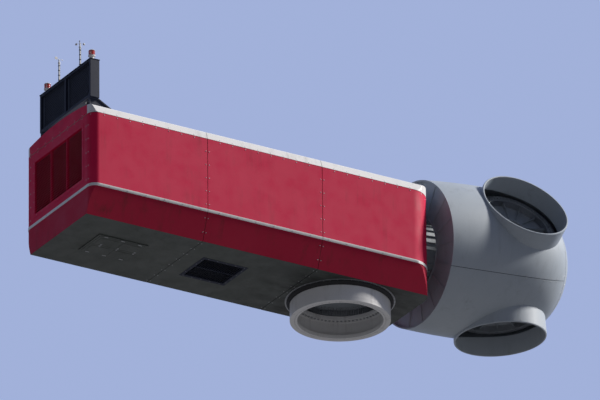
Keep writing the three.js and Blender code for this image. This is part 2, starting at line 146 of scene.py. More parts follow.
# %% The sky
world = bpy.data.worlds.new("sky")
world.use_nodes = True
bpy.context.scene.world = world
sky = world.node_tree
towards, down = (node(sky, "VectorMath", {0: node(sky, "TexCoord").outputs["Generated"], 1: way},
                      operation="DOT_PRODUCT").outputs["Value"] for way in (-back, (0, 0, -1)))
above = mix(sky, levels(sky, towards, -0.3, 0.95), SKY_DEEP, SKY_PALE)
sky.links.new(mix(sky, levels(sky, down, 0.0, 0.06), above, HAZE),
              sky.nodes["Background"].inputs["Color"])

# %% The sun
sun = bpy.data.objects.new("sun", bpy.data.lights.new("sun", "SUN"))
bpy.context.scene.collection.objects.link(sun)
sun.data.energy, sun.data.angle = SUN_POWER, math.radians(SUN_SPREAD)
sun.data.color = (1.0, 0.96, 0.91)
sun.rotation_euler = SUN_FROM.to_track_quat("Z", "Y").to_euler()
bpy.context.scene.view_settings.view_transform = "Standard"

# %% [markdown]
# ## Paint
# Painted laminate isn't one flat colour. Rain washes grime down in streaks, panels fade unevenly,
# and the gloss changes where dirt lies. One function mixes these layers over a base colour, all
# from object coordinates, so the pattern runs across the seams as the weather does.

# %% A recipe for paint


def material(name, roughness=0.5, metallic=0.0, coat=0.0, shine=0.5):
    """A new material, its node tree, its main shader and its object coordinates."""
    new = bpy.data.materials.new(name)
    new.use_nodes = True
    shader = new.node_tree.nodes["Principled BSDF"]
    for socket, value in {"Roughness": roughness, "Metallic": metallic, "Coat Weight": coat,
                          "Coat Roughness": 0.3, "Specular IOR Level": shine}.items():
        shader.inputs[socket].default_value = value
    return new, new.node_tree, shader, node(new.node_tree, "TexCoord").outputs["Object"]


def noise(tree, place, scale, stretch=(1, 1, 1), detail=4.0, rough=0.55):
    """A patchy pattern over a place, stretched along the axes."""
    mapped = node(tree, "Mapping", {"Vector": place, "Scale": stretch}).outputs["Vector"]
    return node(tree, "TexNoise", {"Vector": mapped, "Scale": scale, "Detail": detail,
                                   "Roughness": rough}).outputs["Fac"]


def patches(tree, place, scale, low, high, out_low=0.0, out_high=1.0, **more):
    """A patchy pattern spread between two limits."""
    return levels(tree, noise(tree, place, scale, **more), low, high, out_low, out_high)


def times(tree, first, second):
    """Two values multiplied."""
    return node(tree, "Math", {0: first, 1: second}, operation="MULTIPLY").outputs[0]


def bumps(tree, shader, *layers):
    """Lays layers of height, each a pattern with its depth in metres, over the surface."""
    normal = None
    for height, depth in layers:
        inputs = {"Height": height, "Distance": depth, "Strength": 0.5}
        if normal:
            inputs["Normal"] = normal
        normal = node(tree, "Bump", inputs).outputs["Normal"]
    tree.links.new(normal, shader.inputs["Normal"])


# %% Weathered paint


def paint(name, colour, faded, grime, streaks=0.5, roughness=0.5, coat=0.06, oil=0.0, shine=0.3):
    """Weathered paint: faded patches, streaks of grime, uneven gloss, oil by the yaw ring."""
    new, tree, shader, place = material(name, roughness, 0.0, coat, shine)
    worn = patches(tree, place, 0.45, 0.35, 0.7, 0.0, 0.7)
    base = mix(tree, worn, (*colour, 1), (*faded, 1))
    runs = patches(tree, place, 5.0, 0.5, 0.78, stretch=(1, 1, 0.08), detail=6.0, rough=0.65)
    washed = patches(tree, place, 1.3, 0.42, 0.65, 0.0, streaks)
    base = mix(tree, times(tree, runs, washed), base, (*grime, 1))
    specks = patches(tree, place, 40.0, 0.62, 0.75, 0.0, 0.25, detail=2.0)
    base = mix(tree, specks, base, (*grime, 1))
    if oil:
        flat = node(tree, "VectorMath", {0: place, 1: (1, 1, 0)}, operation="MULTIPLY").outputs[0]
        distance = node(tree, "VectorMath", {0: flat}, operation="LENGTH").outputs["Value"]
        near = levels(tree, distance, 1.6, 3.2, oil, 0.0)
        drops = patches(tree, place, 1.6, 0.42, 0.62, stretch=(0.35, 1, 1), detail=8.0, rough=0.6)
        base = mix(tree, times(tree, near, drops), base, (0.012, 0.011, 0.01, 1))
    tree.links.new(base, shader.inputs["Base Color"])
    gloss = patches(tree, place, 2.2, 0.3, 0.7, roughness - 0.08, roughness + 0.14)
    tree.links.new(gloss, shader.inputs["Roughness"])
    bumps(tree, shader, (noise(tree, place, 0.9, detail=1.0), 0.008),
          (noise(tree, place, 160.0, detail=1.0), 0.0006))
    return new


# %% The paints
RED_PAINT = paint("red_paint", (0.60, 0.010, 0.062), (0.64, 0.020, 0.078), (0.18, 0.02, 0.03),
                  0.5, 0.58, 0.03, shine=0.12)
# The lower red is darker than the side's red: painted shade on the slanting lower panels, plus more
# streaks of real grime.
GRIMY_SHADED_RED_PAINT = paint("grimy_and_shaded_red_paint", (0.42, 0.010, 0.042), (0.46, 0.018, 0.052),
                      (0.12, 0.025, 0.024), 0.9, 0.6, 0.03, shine=0.12)
ROOF_PAINT = paint("light_grey_paint", (0.67, 0.67, 0.67), (0.73, 0.72, 0.71),
                   (0.24, 0.23, 0.21), 0.6)
# Painted shade: the underside's light grey is given as a dark grey-green. The oil stains near the yaw
# ring are real dirt.
SHADED_UNDER_PAINT = paint("under_paint", (0.062, 0.07, 0.064), (0.08, 0.09, 0.08),
                    (0.025, 0.025, 0.02), 0.8, oil=0.85)
LINING = paint("lining", (0.30, 0.29, 0.25), (0.36, 0.34, 0.30), (0.12, 0.1, 0.08), 0.6, 0.8, 0.0)
# Painted shade: the spinner's light grey is given darker, for the shadow that the blades cast on it.
SHADED_SPINNER_PAINT = paint("spinner_paint_with_painted_shade", (0.34, 0.385, 0.43), (0.40, 0.44, 0.48),
                      (0.11, 0.12, 0.12), 0.4)
GRIP_PAINT = paint("grip_paint", (0.2, 0.21, 0.21), (0.26, 0.27, 0.26), (0.08, 0.08, 0.07),
                   0.6, 0.85, 0.0)

# %% [markdown]
# ## Metal, rubber and glass
# Castings are rough and spotted, machined rings shine with a fine grain, zinc has dull flowers, and
# the radiator is dusty. They share one recipe with other numbers.

# %% A recipe for metal


def metal(name, colour, roughness, metallic=1.0, grain=(1, 1, 1), spots=(0.1, 0.08, 0.06),
          spotted=0.2, depth=0.0006, shine=0.5):
    """Metal with a fine grain and a few dull spots."""
    new, tree, shader, place = material(name, roughness, metallic, shine=shine)
    tone = mix(tree, noise(tree, place, 3.0), (*[c * 0.75 for c in colour], 1), (*colour, 1))
    marks = patches(tree, place, 12.0, 0.6, 0.75, 0.0, spotted, detail=6.0)
    tree.links.new(mix(tree, marks, tone, (*spots, 1)), shader.inputs["Base Color"])
    gloss = patches(tree, place, 30.0, 0.3, 0.7, roughness - 0.08, roughness + 0.12, stretch=grain)
    tree.links.new(gloss, shader.inputs["Roughness"])
    bumps(tree, shader, (noise(tree, place, 220.0, grain, 2.0), depth))
    return new


# %% The metals, the rubber and the glass
DARK_METAL = metal("dark_metal", (0.030, 0.036, 0.060), 0.55, 0.0, spots=(0.07, 0.07, 0.07),
                   shine=0.15)
FIN_METAL = metal("radiator", (0.055, 0.065, 0.095), 0.5, 0.3, spots=(0.14, 0.13, 0.11),
                  spotted=0.3)
CAST_IRON = metal("cast_iron", (0.3, 0.33, 0.36), 0.6, 0.1, spots=(0.2, 0.14, 0.1), depth=0.002)
STEEL = metal("steel", (0.5, 0.51, 0.53), 0.32, 1.0, (1, 1, 8), spots=(0.25, 0.2, 0.15))
ZINC = metal("zinc", (0.5, 0.51, 0.53), 0.45, 0.9, spots=(0.3, 0.3, 0.3), spotted=0.5)
RUBBER = metal("rubber", (0.018, 0.018, 0.02), 0.75, 0.0, spots=(0.08, 0.08, 0.075))
LENS, lens_tree, lens_shader, lens_place = material("lamp", 0.12, 0.0, 0.6)
lens_tree.links.new(mix(lens_tree, noise(lens_tree, lens_place, 25.0), (0.42, 0.01, 0.008, 1),
                        (0.62, 0.03, 0.02, 1)), lens_shader.inputs["Base Color"])
print("materials:", len(bpy.data.materials))

# %% [markdown]
# ## Helpers for shapes
# Every piece starts as a small bmesh: a block, a rod, a pipe or a turned profile. Its edges are
# softened, and it becomes an object at the origin that rides on one body of the frame.

# %% Helpers: basic shapes
X, Y, Z = Vector((1, 0, 0)), Vector((0, 1, 0)), Vector((0, 0, 1))
HAIR = 0.0005  # keeps two faces apart that would lie in one plane


def block(low, high, into=None):
    """A box between two corners."""
    bm = into or bmesh.new()
    low, high = Vector(low), Vector(high)
    verts = bmesh.ops.create_cube(bm, size=1)["verts"]
    bmesh.ops.scale(bm, vec=high - low, verts=verts)
    bmesh.ops.translate(bm, vec=(low + high) / 2, verts=verts)
    return bm


def rod(start, end, radius, sides=16, into=None, tip=None):
    """A round bar between two points, or a cone where the tip has another radius."""
    bm = into or bmesh.new()
    start, end = Vector(start), Vector(end)
    turn = (end - start).to_track_quat("Z", "Y").to_matrix().to_4x4()
    bmesh.ops.create_cone(bm, cap_ends=True, segments=sides, radius1=radius,
                          radius2=radius if tip is None else tip, depth=(end - start).length,
                          matrix=Matrix.Translation((start + end) / 2) @ turn)
    return bm


def turned(profile, matrix=Matrix(), steps=96):
    """A closed [radius, height] profile spun about +Z, then placed by a matrix."""
    bm = bmesh.new()
    verts = [bm.verts.new((radius, 0, height)) for radius, height in profile]
    pairs = zip(verts, verts[1:] + verts[:1])
    edges = [bm.edges.new(pair) for pair in pairs if max(pair[0].co.x, pair[1].co.x) > 1e-6]
    bmesh.ops.spin(bm, geom=verts + edges, cent=(0, 0, 0), axis=(0, 0, 1), angle=2 * math.pi,
                   steps=steps, use_merge=True, use_duplicate=False)
    bmesh.ops.remove_doubles(bm, verts=bm.verts[:], dist=1e-5)
    bmesh.ops.recalc_face_normals(bm, faces=bm.faces[:])
    bmesh.ops.transform(bm, matrix=matrix, verts=bm.verts[:])
    return bm


def ring(inner, outer, low, high, matrix=Matrix(), steps=96):
    """A ring about +Z."""
    return turned([(inner, low), (outer, low), (outer, high), (inner, high)], matrix, steps)


# %% Helpers: placed and repeated shapes


def moved(bm, matrix):
    """A shape placed by a matrix."""
    bmesh.ops.transform(bm, matrix=matrix, verts=bm.verts[:])
    return bm


def together(*shapes):
    """Several shapes in one bmesh."""
    result = bmesh.new()
    for shape in shapes:
        mesh = bpy.data.meshes.new("part")
        shape.to_mesh(mesh)
        shape.free()
        result.from_mesh(mesh)
        bpy.data.meshes.remove(mesh)
    return result


def repeated(bm, matrices):
    """Copies of a shape, one for each matrix."""
    return together(*[moved(bm.copy(), matrix) for matrix in matrices])


def turns(count, axis_frame=Matrix(), first=0.0):
    """Even turns about the +Z of a frame."""
    angles = [2 * math.pi * (i + first) / count for i in range(count)]
    return [axis_frame @ Matrix.Rotation(angle, 4, "Z") for angle in angles]


# %% Helpers: edges and cuts
ROUNDED = math.radians(40)  # edges sharper than this are rounded


def soften(bm, size, segments=2):
    """Rounds the sharp edges."""
    edges = [e for e in bm.edges if len(e.link_faces) == 2 and e.calc_face_angle(0) > ROUNDED]
    bmesh.ops.bevel(bm, geom=edges, offset=size, offset_type="OFFSET", affect="EDGES",
                    segments=segments, profile=0.5, material=-1, clamp_overlap=True)
    return bm


def slab(low, high, size, segments=2):
    """A box with rounded edges."""
    return soften(block(low, high), size, segments=segments)


def trim(bm, point, normal, cap=False):
    """Cuts away what lies beyond a plane, and closes the cut if asked."""
    parts = bm.verts[:] + bm.edges[:] + bm.faces[:]
    cut = bmesh.ops.bisect_plane(bm, geom=parts, plane_co=point, plane_no=normal,
                                 clear_outer=True, dist=1e-6)["geom_cut"]
    edges = [part for part in cut if isinstance(part, bmesh.types.BMEdge)]
    if cap and edges:
        bmesh.ops.contextual_create(bm, geom=edges)
    return bm


# %% Helpers: from a shape to an object and back


def as_object(bm, name):
    """A bmesh turned into an object in the scene."""
    mesh = bpy.data.meshes.new(name)
    bm.to_mesh(mesh)
    bm.free()
    new = bpy.data.objects.new(name, mesh)
    bpy.context.scene.collection.objects.link(new)
    return new


def from_object(source):
    """The finished mesh of an object as a bmesh; the object goes."""
    bpy.context.view_layer.update()
    ready = source.evaluated_get(bpy.context.evaluated_depsgraph_get())
    result = bmesh.new()
    result.from_mesh(ready.to_mesh())
    ready.to_mesh_clear()
    bpy.data.objects.remove(source)
    return result


def combine(bm, tool, how):
    """Joins ("UNION"), cuts ("DIFFERENCE") or overlaps ("INTERSECT") two closed shapes."""
    first, second = as_object(bm, "first"), as_object(tool, "second")
    modifier = first.modifiers.new("combine", "BOOLEAN")
    modifier.object, modifier.operation, modifier.solver = second, how, "EXACT"
    result = from_object(first)
    bpy.data.objects.remove(second)
    bmesh.ops.dissolve_degenerate(result, dist=1e-6, edges=result.edges[:])
    return result


def without(bm, *tools):
    """A shape with other shapes cut out of it."""
    for tool in tools:
        bm = combine(bm, tool, "DIFFERENCE")
    return bm


# %% Helpers: lines


def bend(start, control, end, count):
    """Points of a curve between two points, pulled towards a third."""
    steps = [i / count for i in range(1, count + 1)]
    return [start * (1 - t) ** 2 + control * 2 * t * (1 - t) + end * t * t for t in steps]


def pipe(points, radius, corner=0.08):
    """A round pipe along a line of points, with rounded corners."""
    points = [Vector(point) for point in points]
    path = points[:1]
    for before, turn, after in zip(points, points[1:], points[2:]):
        first = turn + (before - turn).normalized() * corner
        path += [first] + bend(first, turn, turn + (after - turn).normalized() * corner, 6)
    path.append(points[-1])
    curve = bpy.data.curves.new("pipe", "CURVE")
    curve.dimensions, curve.bevel_depth, curve.bevel_resolution = "3D", radius, 3
    curve.use_fill_caps = True
    spline = curve.splines.new("POLY")
    spline.points.add(len(path) - 1)
    for point, place in zip(spline.points, path):
        point.co = (*place, 1)
    line = bpy.data.objects.new("pipe", curve)
    bpy.context.scene.collection.objects.link(line)
    result = from_object(line)
    bmesh.ops.remove_doubles(result, verts=result.verts[:], dist=1e-5)
    bmesh.ops.recalc_face_normals(result, faces=result.faces[:])
    return result


def walk(points, spacing):
    """Even steps round a closed line of points."""
    points = points + points[:1]
    total = sum((b - a).length for a, b in zip(points, points[1:]))
    count = max(1, round(total / spacing))
    stops, passed = [total * (i + 0.5) / count for i in range(count)], 0
    found = []
    for a, b in zip(points, points[1:]):
        reach = (b - a).length
        while stops and stops[0] <= passed + reach:
            found.append(a.lerp(b, (stops.pop(0) - passed) / reach))
        passed += reach
    return found


# %% Helpers: screws and bolts


def around(radius, height, count, axis_frame=Matrix(), facing=Z):
    """Places spread round a frame's +Z, each with the direction it faces."""
    return [(turn @ Vector((radius, 0, height)), turn.to_3x3() @ facing)
            for turn in turns(count, axis_frame, 0.5)]


def screws(places, radius=0.016, height=0.008):
    """Low round screw heads."""
    bm = bmesh.new()
    for point, facing in places:
        rod(point, point + facing * height, radius, 10, bm, radius * 0.6)
    return bm


def bolts(places, radius=0.03):
    """Hexagon heads on washers."""
    bm = bmesh.new()
    for point, facing in places:
        seat = point + facing * radius * 0.25
        rod(point, seat, radius * 1.4, 14, bm)
        rod(seat, seat + facing * radius * 0.8, radius, 6, bm, radius * 0.92)
    return bm


# %% Helpers: finished pieces
SHARP = math.radians(32)


def piece(shape, name, finish, instead_of=None, body="nacelle"):
    """A piece of one or more shapes and finishes, riding on a body in place of a CAD node."""
    shapes, finishes = (one if isinstance(one, list) else [one] for one in (shape, finish))
    new = as_object(together(*shapes), name)
    for one in finishes:
        new.data.materials.append(one)
    new.data.shade_smooth()
    new.data.set_sharp_from_angle(angle=SHARP)
    new.modifiers.new("even shading", "WEIGHTED_NORMAL").keep_sharp = True
    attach(new, body)
    if instead_of:
        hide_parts(instead_of)
    print(f"{name}: {len(new.data.polygons)} faces")


# %% The floor
FLOOR_DROP, FLOOR_REACH = RANGE, 20 * RANGE
floor = as_object(block((-FLOOR_REACH, -FLOOR_REACH, -FLOOR_DROP - 1),
                        (FLOOR_REACH, FLOOR_REACH, -FLOOR_DROP)), "floor")
floor_material, _, floor_shader, _ = material("floor", 0.9)
floor_shader.inputs["Base Color"].default_value = (0.16, 0.16, 0.16, 1)
floor.data.materials.append(floor_material)

# %% [markdown]
# ## The housing's form
# All panels come from one form, as they would from one mould: a block with rounded upright corners,
# sawn by planes to its cross-section. The planes follow the slanting lower edges, the upright
# sides, the roof's shoulder and its low crown. The same form, a little smaller or larger, gives the
# seals that lie in the seams and the trim that lies over them.

# %% The housing's form
REAR_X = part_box("roof_rear")[0].x
FRONT_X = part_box("roof_front")[1].x
FLOOR_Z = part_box("lower_shell_middle")[0].z
CROWN_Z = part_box("roof_middle")[1].z
low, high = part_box("side_left_middle")
JOINTS = [low.x, high.x]
CREASE_Z, SIDE_TOP_Z, HALF_WIDTH = low.z, high.z, high.y
FLOOR_HALF = 1.6
SHOULDER = Vector((HALF_WIDTH - 0.07, 3.96))
ROOF_EDGE = Vector((SHOULDER.x - 0.12, SHOULDER.y + 0.015))
FRONT_ROUND, REAR_ROUND = 0.75, 0.26
CORNER_STEPS = 14

# %% The housing's cross-section and block


def half_section():
    """The cross-section's points in Y and Z, from the floor up to the crown."""
    points = [Vector((0, FLOOR_Z)), Vector((FLOOR_HALF, FLOOR_Z)), Vector((HALF_WIDTH, CREASE_Z)),
              Vector((HALF_WIDTH, SIDE_TOP_Z)), Vector((SHOULDER.x, SHOULDER.y - 0.06))]
    points += bend(points[-1], Vector((SHOULDER.x - 0.015, SHOULDER.y + 0.005)), ROOF_EDGE, 6)
    points += bend(ROOF_EDGE, Vector((ROOF_EDGE.x / 2, CROWN_Z)), Vector((0, CROWN_Z)), 10)
    return points


def roof_z(y):
    """The height of the roof at a distance from its middle."""
    return CROWN_Z - (CROWN_Z - ROOF_EDGE.y) * (y / ROOF_EDGE.x) ** 2


def housing_form(inset=0.0):
    """The whole housing as one closed block."""
    bm = block((REAR_X + inset, -HALF_WIDTH + inset, FLOOR_Z + inset),
               (FRONT_X - inset, HALF_WIDTH - inset, CROWN_Z + 0.5))
    for end, radius in ((FRONT_X - inset, FRONT_ROUND), (REAR_X + inset, REAR_ROUND)):
        corners = [e for e in bm.edges if all(abs(v.co.x - end) < 1e-4 for v in e.verts)
                   and abs(e.verts[0].co.z - e.verts[1].co.z) > 1]
        bmesh.ops.bevel(bm, geom=corners, offset=radius - inset, offset_type="OFFSET",
                        affect="EDGES", segments=CORNER_STEPS, profile=0.5, material=-1)
    section = half_section()
    for low, high in zip(section[1:], section[2:]):
        run = (high - low).normalized()
        for side in (1, -1):
            normal = Vector((0, side * run.y, -run.x))
            trim(bm, Vector((0, side * low.x, low.y)) - normal * inset, normal, cap=True)
    bmesh.ops.recalc_face_normals(bm, faces=bm.faces[:])
    return bm


# %% The moulds of the panels, the seals and the trim
mould = housing_form()
SEAL_DEPTH, TRIM_HEIGHT, GRIP_HEIGHT = 0.012, 0.012, 0.005
TRIM_THICK = TRIM_HEIGHT - HAIR
seal_mould, trim_mould, grip_mould = (housing_form(inset)
                                      for inset in (SEAL_DEPTH, -TRIM_HEIGHT, -GRIP_HEIGHT))
print("faces of the mould:", len(mould.faces))

# %% [markdown]
# ## Panels
# A panel is the mould's skin between a few planes, thickened inwards, with softened edges. Leaving
# a little less than the full width at each joint opens the seams.

# %% Panels
SEAM = 0.014  # width of the open joint between two panels
SKIN = 0.05  # thickness of a panel
FAR = 3.0  # beyond the housing's sides
END_HALF = {"rear": HALF_WIDTH - REAR_ROUND, "middle": 0.5, "front": HALF_WIDTH - FRONT_ROUND}
ENDS = [(REAR_X, END_HALF["rear"]), (FRONT_X, END_HALF["front"])]
BAYS = {"rear": (REAR_X - 1, JOINTS[0]), "middle": JOINTS, "front": (JOINTS[1], FRONT_X + 1)}
TOWER_HOLE_R = 1.52
PLAY = 0.002
gap = SEAM / 2


def skin(source, low, high, thickness=SKIN):
    """The skin of a form between two corners of a box, thickened inwards."""
    bm = source.copy()
    for unit in (X, Y, Z):
        trim(bm, Vector(low), -unit)
        trim(bm, Vector(high), unit)
    bmesh.ops.solidify(bm, geom=bm.faces[:], thickness=thickness)
    bmesh.ops.recalc_face_normals(bm, faces=bm.faces[:])
    return bm


# %% Panels: roofs, walls and trays
mould_tree = BVHTree.FromBMesh(mould)


def lined(bm):
    """A softened panel: its inside takes the second material, the flat bottom the third."""
    soften(bm, 0.006)
    for face in bm.faces:
        centre = face.calc_center_median()
        if mould_tree.find_nearest(centre)[3] > SKIN * 0.9:
            face.material_index = 1
        elif centre.z < FLOOR_Z + SKIN:
            face.material_index = 2
    return bm


for bay, (x0, x1) in BAYS.items():
    roof = lined(skin(mould, (x0 + gap, -FAR, SIDE_TOP_Z + gap), (x1 - gap, FAR, CROWN_Z + 1)))
    for face in roof.faces:
        centre = face.calc_center_median()
        if centre.x < REAR_X + 0.004 and abs(centre.y) < END_HALF["rear"]:
            face.material_index = 2  # the rear end is red, as the wall below it
    piece(roof, f"roof_shell_{bay}", [ROOF_PAINT, LINING, RED_PAINT], f"roof_{bay}")
    for side, (y0, y1) in {"left": (END_HALF[bay], FAR), "right": (-FAR, -END_HALF[bay])}.items():
        wall = skin(mould, (x0 + gap, y0, CREASE_Z + gap), (x1 - gap, y1, SIDE_TOP_Z - gap))
        piece(lined(wall), f"side_panel_{side}_{bay}", [RED_PAINT, LINING], f"side_{side}_{bay}")
    tray = skin(mould, (x0 + gap, -FAR, FLOOR_Z - 1), (x1 - gap, FAR, CREASE_Z - gap))
    if bay == "front":
        tray = without(tray, rod(Z * (FLOOR_Z - 0.2), Z * (FLOOR_Z + 0.2), TOWER_HOLE_R, 96))
    if bay == "middle":
        low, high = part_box("floor_grille")
        room = Vector((PLAY, PLAY, 0.2))
        tray = without(tray, block(low - room, high + room))
    # The slanting flanks take the darker red and the flat bottom the dark under paint, both painted
    # shade.
    piece(lined(tray), f"lower_panel_{bay}", [GRIMY_SHADED_RED_PAINT, LINING, SHADED_UNDER_PAINT],
          f"lower_shell_{bay}")

# %% End walls
rotor_joint = next(j for j in frame["joints"] if j["name"] == "rotor_spin")
HUB = Vector(rotor_joint["pos_m"])
AXIS = Vector(rotor_joint["axis"]).normalized()
# The rotor's frame: +Z forward along the shaft, +Y to the left, +X down
ROTOR = axes(Y.cross(AXIS), Y, HUB)
HOUSING_R = 0.98

rear_half, front_half = END_HALF["rear"] - gap, END_HALF["front"] - gap
vent_low, vent_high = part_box("rear_grille")
room = Vector((0.2, PLAY, PLAY))
low_z, high_z = CREASE_Z + gap, SIDE_TOP_Z - gap
rear_wall = without(block((REAR_X, -rear_half, low_z), (REAR_X + SKIN, rear_half, high_z)),
                    block(vent_low - room, vent_high + room))
piece(lined(rear_wall), "rear_wall_panel", [RED_PAINT, LINING], "rear_wall")
front_wall = without(block((FRONT_X - SKIN, -front_half, low_z), (FRONT_X, front_half, high_z)),
                     rod(HUB - AXIS * 4.5, HUB - AXIS * 2, HOUSING_R + 0.01, 96))
piece(lined(front_wall), "front_wall_panel", [RED_PAINT, LINING], "front_wall")

# %% [markdown]
# ## Seams, trim and screws
# A rubber seal lies a little deep in every joint, and a cover strip runs all the way round at the
# crease. The strip is a real trim, and its light grey is a painted highlight for the light that the
# crease catches. Screw heads follow the seams at even steps: each place is found on a drawn line, and
# the mould says where its surface is and which way it faces.

# %% Seams and trim
SEAL_HALF, SEAL_THICK, SEAL_END = gap - 0.001, 0.03, 0.01
seal_boxes = [((joint - SEAL_HALF, -FAR, FLOOR_Z - 1), (joint + SEAL_HALF, FAR, CROWN_Z + 1))
              for joint in JOINTS]
strips = []
for x0, x1 in BAYS.values():
    seal_boxes += [((x0 + SEAL_END, -FAR, z - SEAL_HALF), (x1 - SEAL_END, FAR, z + SEAL_HALF))
                   for z in (CREASE_Z, SIDE_TOP_Z)]
    strips.append(skin(trim_mould, (x0 + gap, -FAR, CREASE_Z - 0.045),
                       (x1 - gap, FAR, CREASE_Z + 0.04), TRIM_THICK))
for end, half in ENDS:
    seal_boxes += [((end - 0.1, y - SEAL_HALF, CREASE_Z + SEAL_END),
                    (end + 0.1, y + SEAL_HALF, SIDE_TOP_Z - SEAL_END)) for y in (half, -half)]
seals = [skin(seal_mould, *corners, SEAL_THICK) for corners in seal_boxes]
piece(seals, "joint_seals", RUBBER)
# The trim's light grey is a painted highlight along the crease.
piece(soften(together(*strips), 0.004), "edge_trim", ROOF_PAINT)

# %% Screws: lines and surfaces to follow


def plan_line():
    """The housing's outline seen from above, as points in X and Y."""
    points = []
    corners = [(FRONT_X - FRONT_ROUND, 1, FRONT_ROUND), (REAR_X + REAR_ROUND, 1, REAR_ROUND),
               (REAR_X + REAR_ROUND, -1, REAR_ROUND), (FRONT_X - FRONT_ROUND, -1, FRONT_ROUND)]
    for quarter, (x, side, radius) in enumerate(corners):
        centre = Vector((x, side * (HALF_WIDTH - radius)))
        for i in range(9):
            angle = math.pi / 2 * (quarter + i / 8)
            points.append(centre + Vector((math.cos(angle), math.sin(angle))) * radius)
    return points


def seated(tree, points):
    """Places on a surface nearest to some points, each with the direction it faces."""
    return [tree.find_nearest(point)[:2] for point in points]


def away(value, lines):
    """How far a value is from the nearest of some seams."""
    return min(abs(value - line) for line in lines)


# %% Screws: a row on each side of every seam
trim_tree = BVHTree.FromBMesh(trim_mould)
ROW = 0.055  # from a seam to its row of screws
STEP, TRIM_STEP = 0.42, 0.6
outline = half_section()
outline += [Vector((-point.x, point.y)) for point in outline[::-1]]
spots = []
for joint in JOINTS:
    spots += [(joint + row, y, z) for y, z in walk(outline, STEP)
              if away(z, (CREASE_Z, SIDE_TOP_Z)) > 0.09 for row in (-ROW, ROW)]
spots += [(x, y, SIDE_TOP_Z + row) for x, y in walk(plan_line(), STEP)
          if away(x, JOINTS) > 0.1 for row in (-ROW, ROW)]
for end, half in ENDS:
    for y in (half - ROW, half + ROW, -half + ROW, -half - ROW):
        spots += [(end, y, CREASE_Z + 0.2 + STEP * i) for i in range(5)]
trim_spots = [(x, y, CREASE_Z) for x, y in walk(plan_line(), TRIM_STEP) if away(x, JOINTS) > 0.05]
piece(screws(seated(mould_tree, spots) + seated(trim_tree, trim_spots)), "panel_screws", ZINC)
print("screws on the housing:", len(spots) + len(trim_spots))

# %% [markdown]
# ## Louvres
# Cooling air leaves through a wide louvre in the rear wall and enters through one in the bottom.
# Each is a T-shaped frame with a lip over the joint, upright posts, and slats that overlap so that
# no rain gets in. It is built lying flat, then laid on its wall by a frame of axes.

# %% Louvres: one recipe
RIM, LIP, PROUD = 0.06, 0.045, 0.006
SLAT_HALF, SLAT_THIN, SLAT_SLANT = 0.045, 0.003, 50
POST_HALF = 0.02


def louvre(size, depth, count, posts):
    """A louvre: X across, Y up the stack of slats, Z outwards from its inner face."""
    half = Vector((size[0] / 2, size[1] / 2, 0))
    lip, rim = Vector((LIP, LIP, 0)), Vector((RIM, RIM, 0))
    top = Z * (depth + PROUD)
    body = combine(block(-half, half + top),
                   block(Z * (depth + HAIR) - half - lip, half + lip + top), "UNION")
    body = soften(without(body, block(rim - half - Z, half - rim + Z)), 0.002)
    reach = half.x - RIM + 0.005
    slat = together(block((-reach, -SLAT_THIN, -SLAT_HALF), (reach, SLAT_THIN, SLAT_HALF)),
                    block((-reach, -SLAT_THIN, SLAT_HALF - 0.01), (reach, 0.014, SLAT_HALF)))
    pitch = (size[1] - 2 * RIM) / count
    slant = Matrix.Rotation(math.radians(SLAT_SLANT), 4, "X")
    stack = [Matrix.Translation((0, RIM - half.y + (i + 0.5) * pitch, depth / 2 - 0.006)) @ slant
             for i in range(count)]
    bars = bmesh.new()
    for x in posts:
        block((x - POST_HALF, RIM - half.y, -0.03),
              (x + POST_HALF, half.y - RIM, depth - 0.012), bars)
    edge = half + (lip - rim) / 2
    border = [Vector((x * edge.x, y * edge.y)) for x, y in ((1, 1), (-1, 1), (-1, -1), (1, -1))]
    heads = [(Vector((x, y, top.z)), Z) for x, y in walk(border, 0.3)]
    return together(body, repeated(slat, stack), bars), screws(heads, 0.011, 0.006)


# %% Louvres: in the rear wall and in the floor
size = vent_high - vent_low
rear_face = axes(-Y, Z, (REAR_X + size.x, 0, (vent_low.z + vent_high.z) / 2))
rear_louvre, rear_heads = louvre((size.y, size.z), size.x, 22, (-0.45, 0.45))
piece(moved(rear_louvre, rear_face), "rear_louvre", RED_PAINT, "rear_grille")
low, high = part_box("floor_grille")
size = high - low
under_face = axes(Y, X, ((low.x + high.x) / 2, 0, high.z))
floor_louvre, floor_heads = louvre((size.y, size.x), size.z, 18, (0,))
piece(moved(floor_louvre, under_face), "floor_louvre", DARK_METAL, "floor_grille")
piece([moved(rear_heads, rear_face), moved(floor_heads, under_face)], "louvre_screws", ZINC)

# %% [markdown]
# ## Floor hatch
# Loads are hoisted through a hatch in the bottom, near the rear. Two leaves with pressed beads hang
# in a frame, with three hinges each and turning latches along the middle.

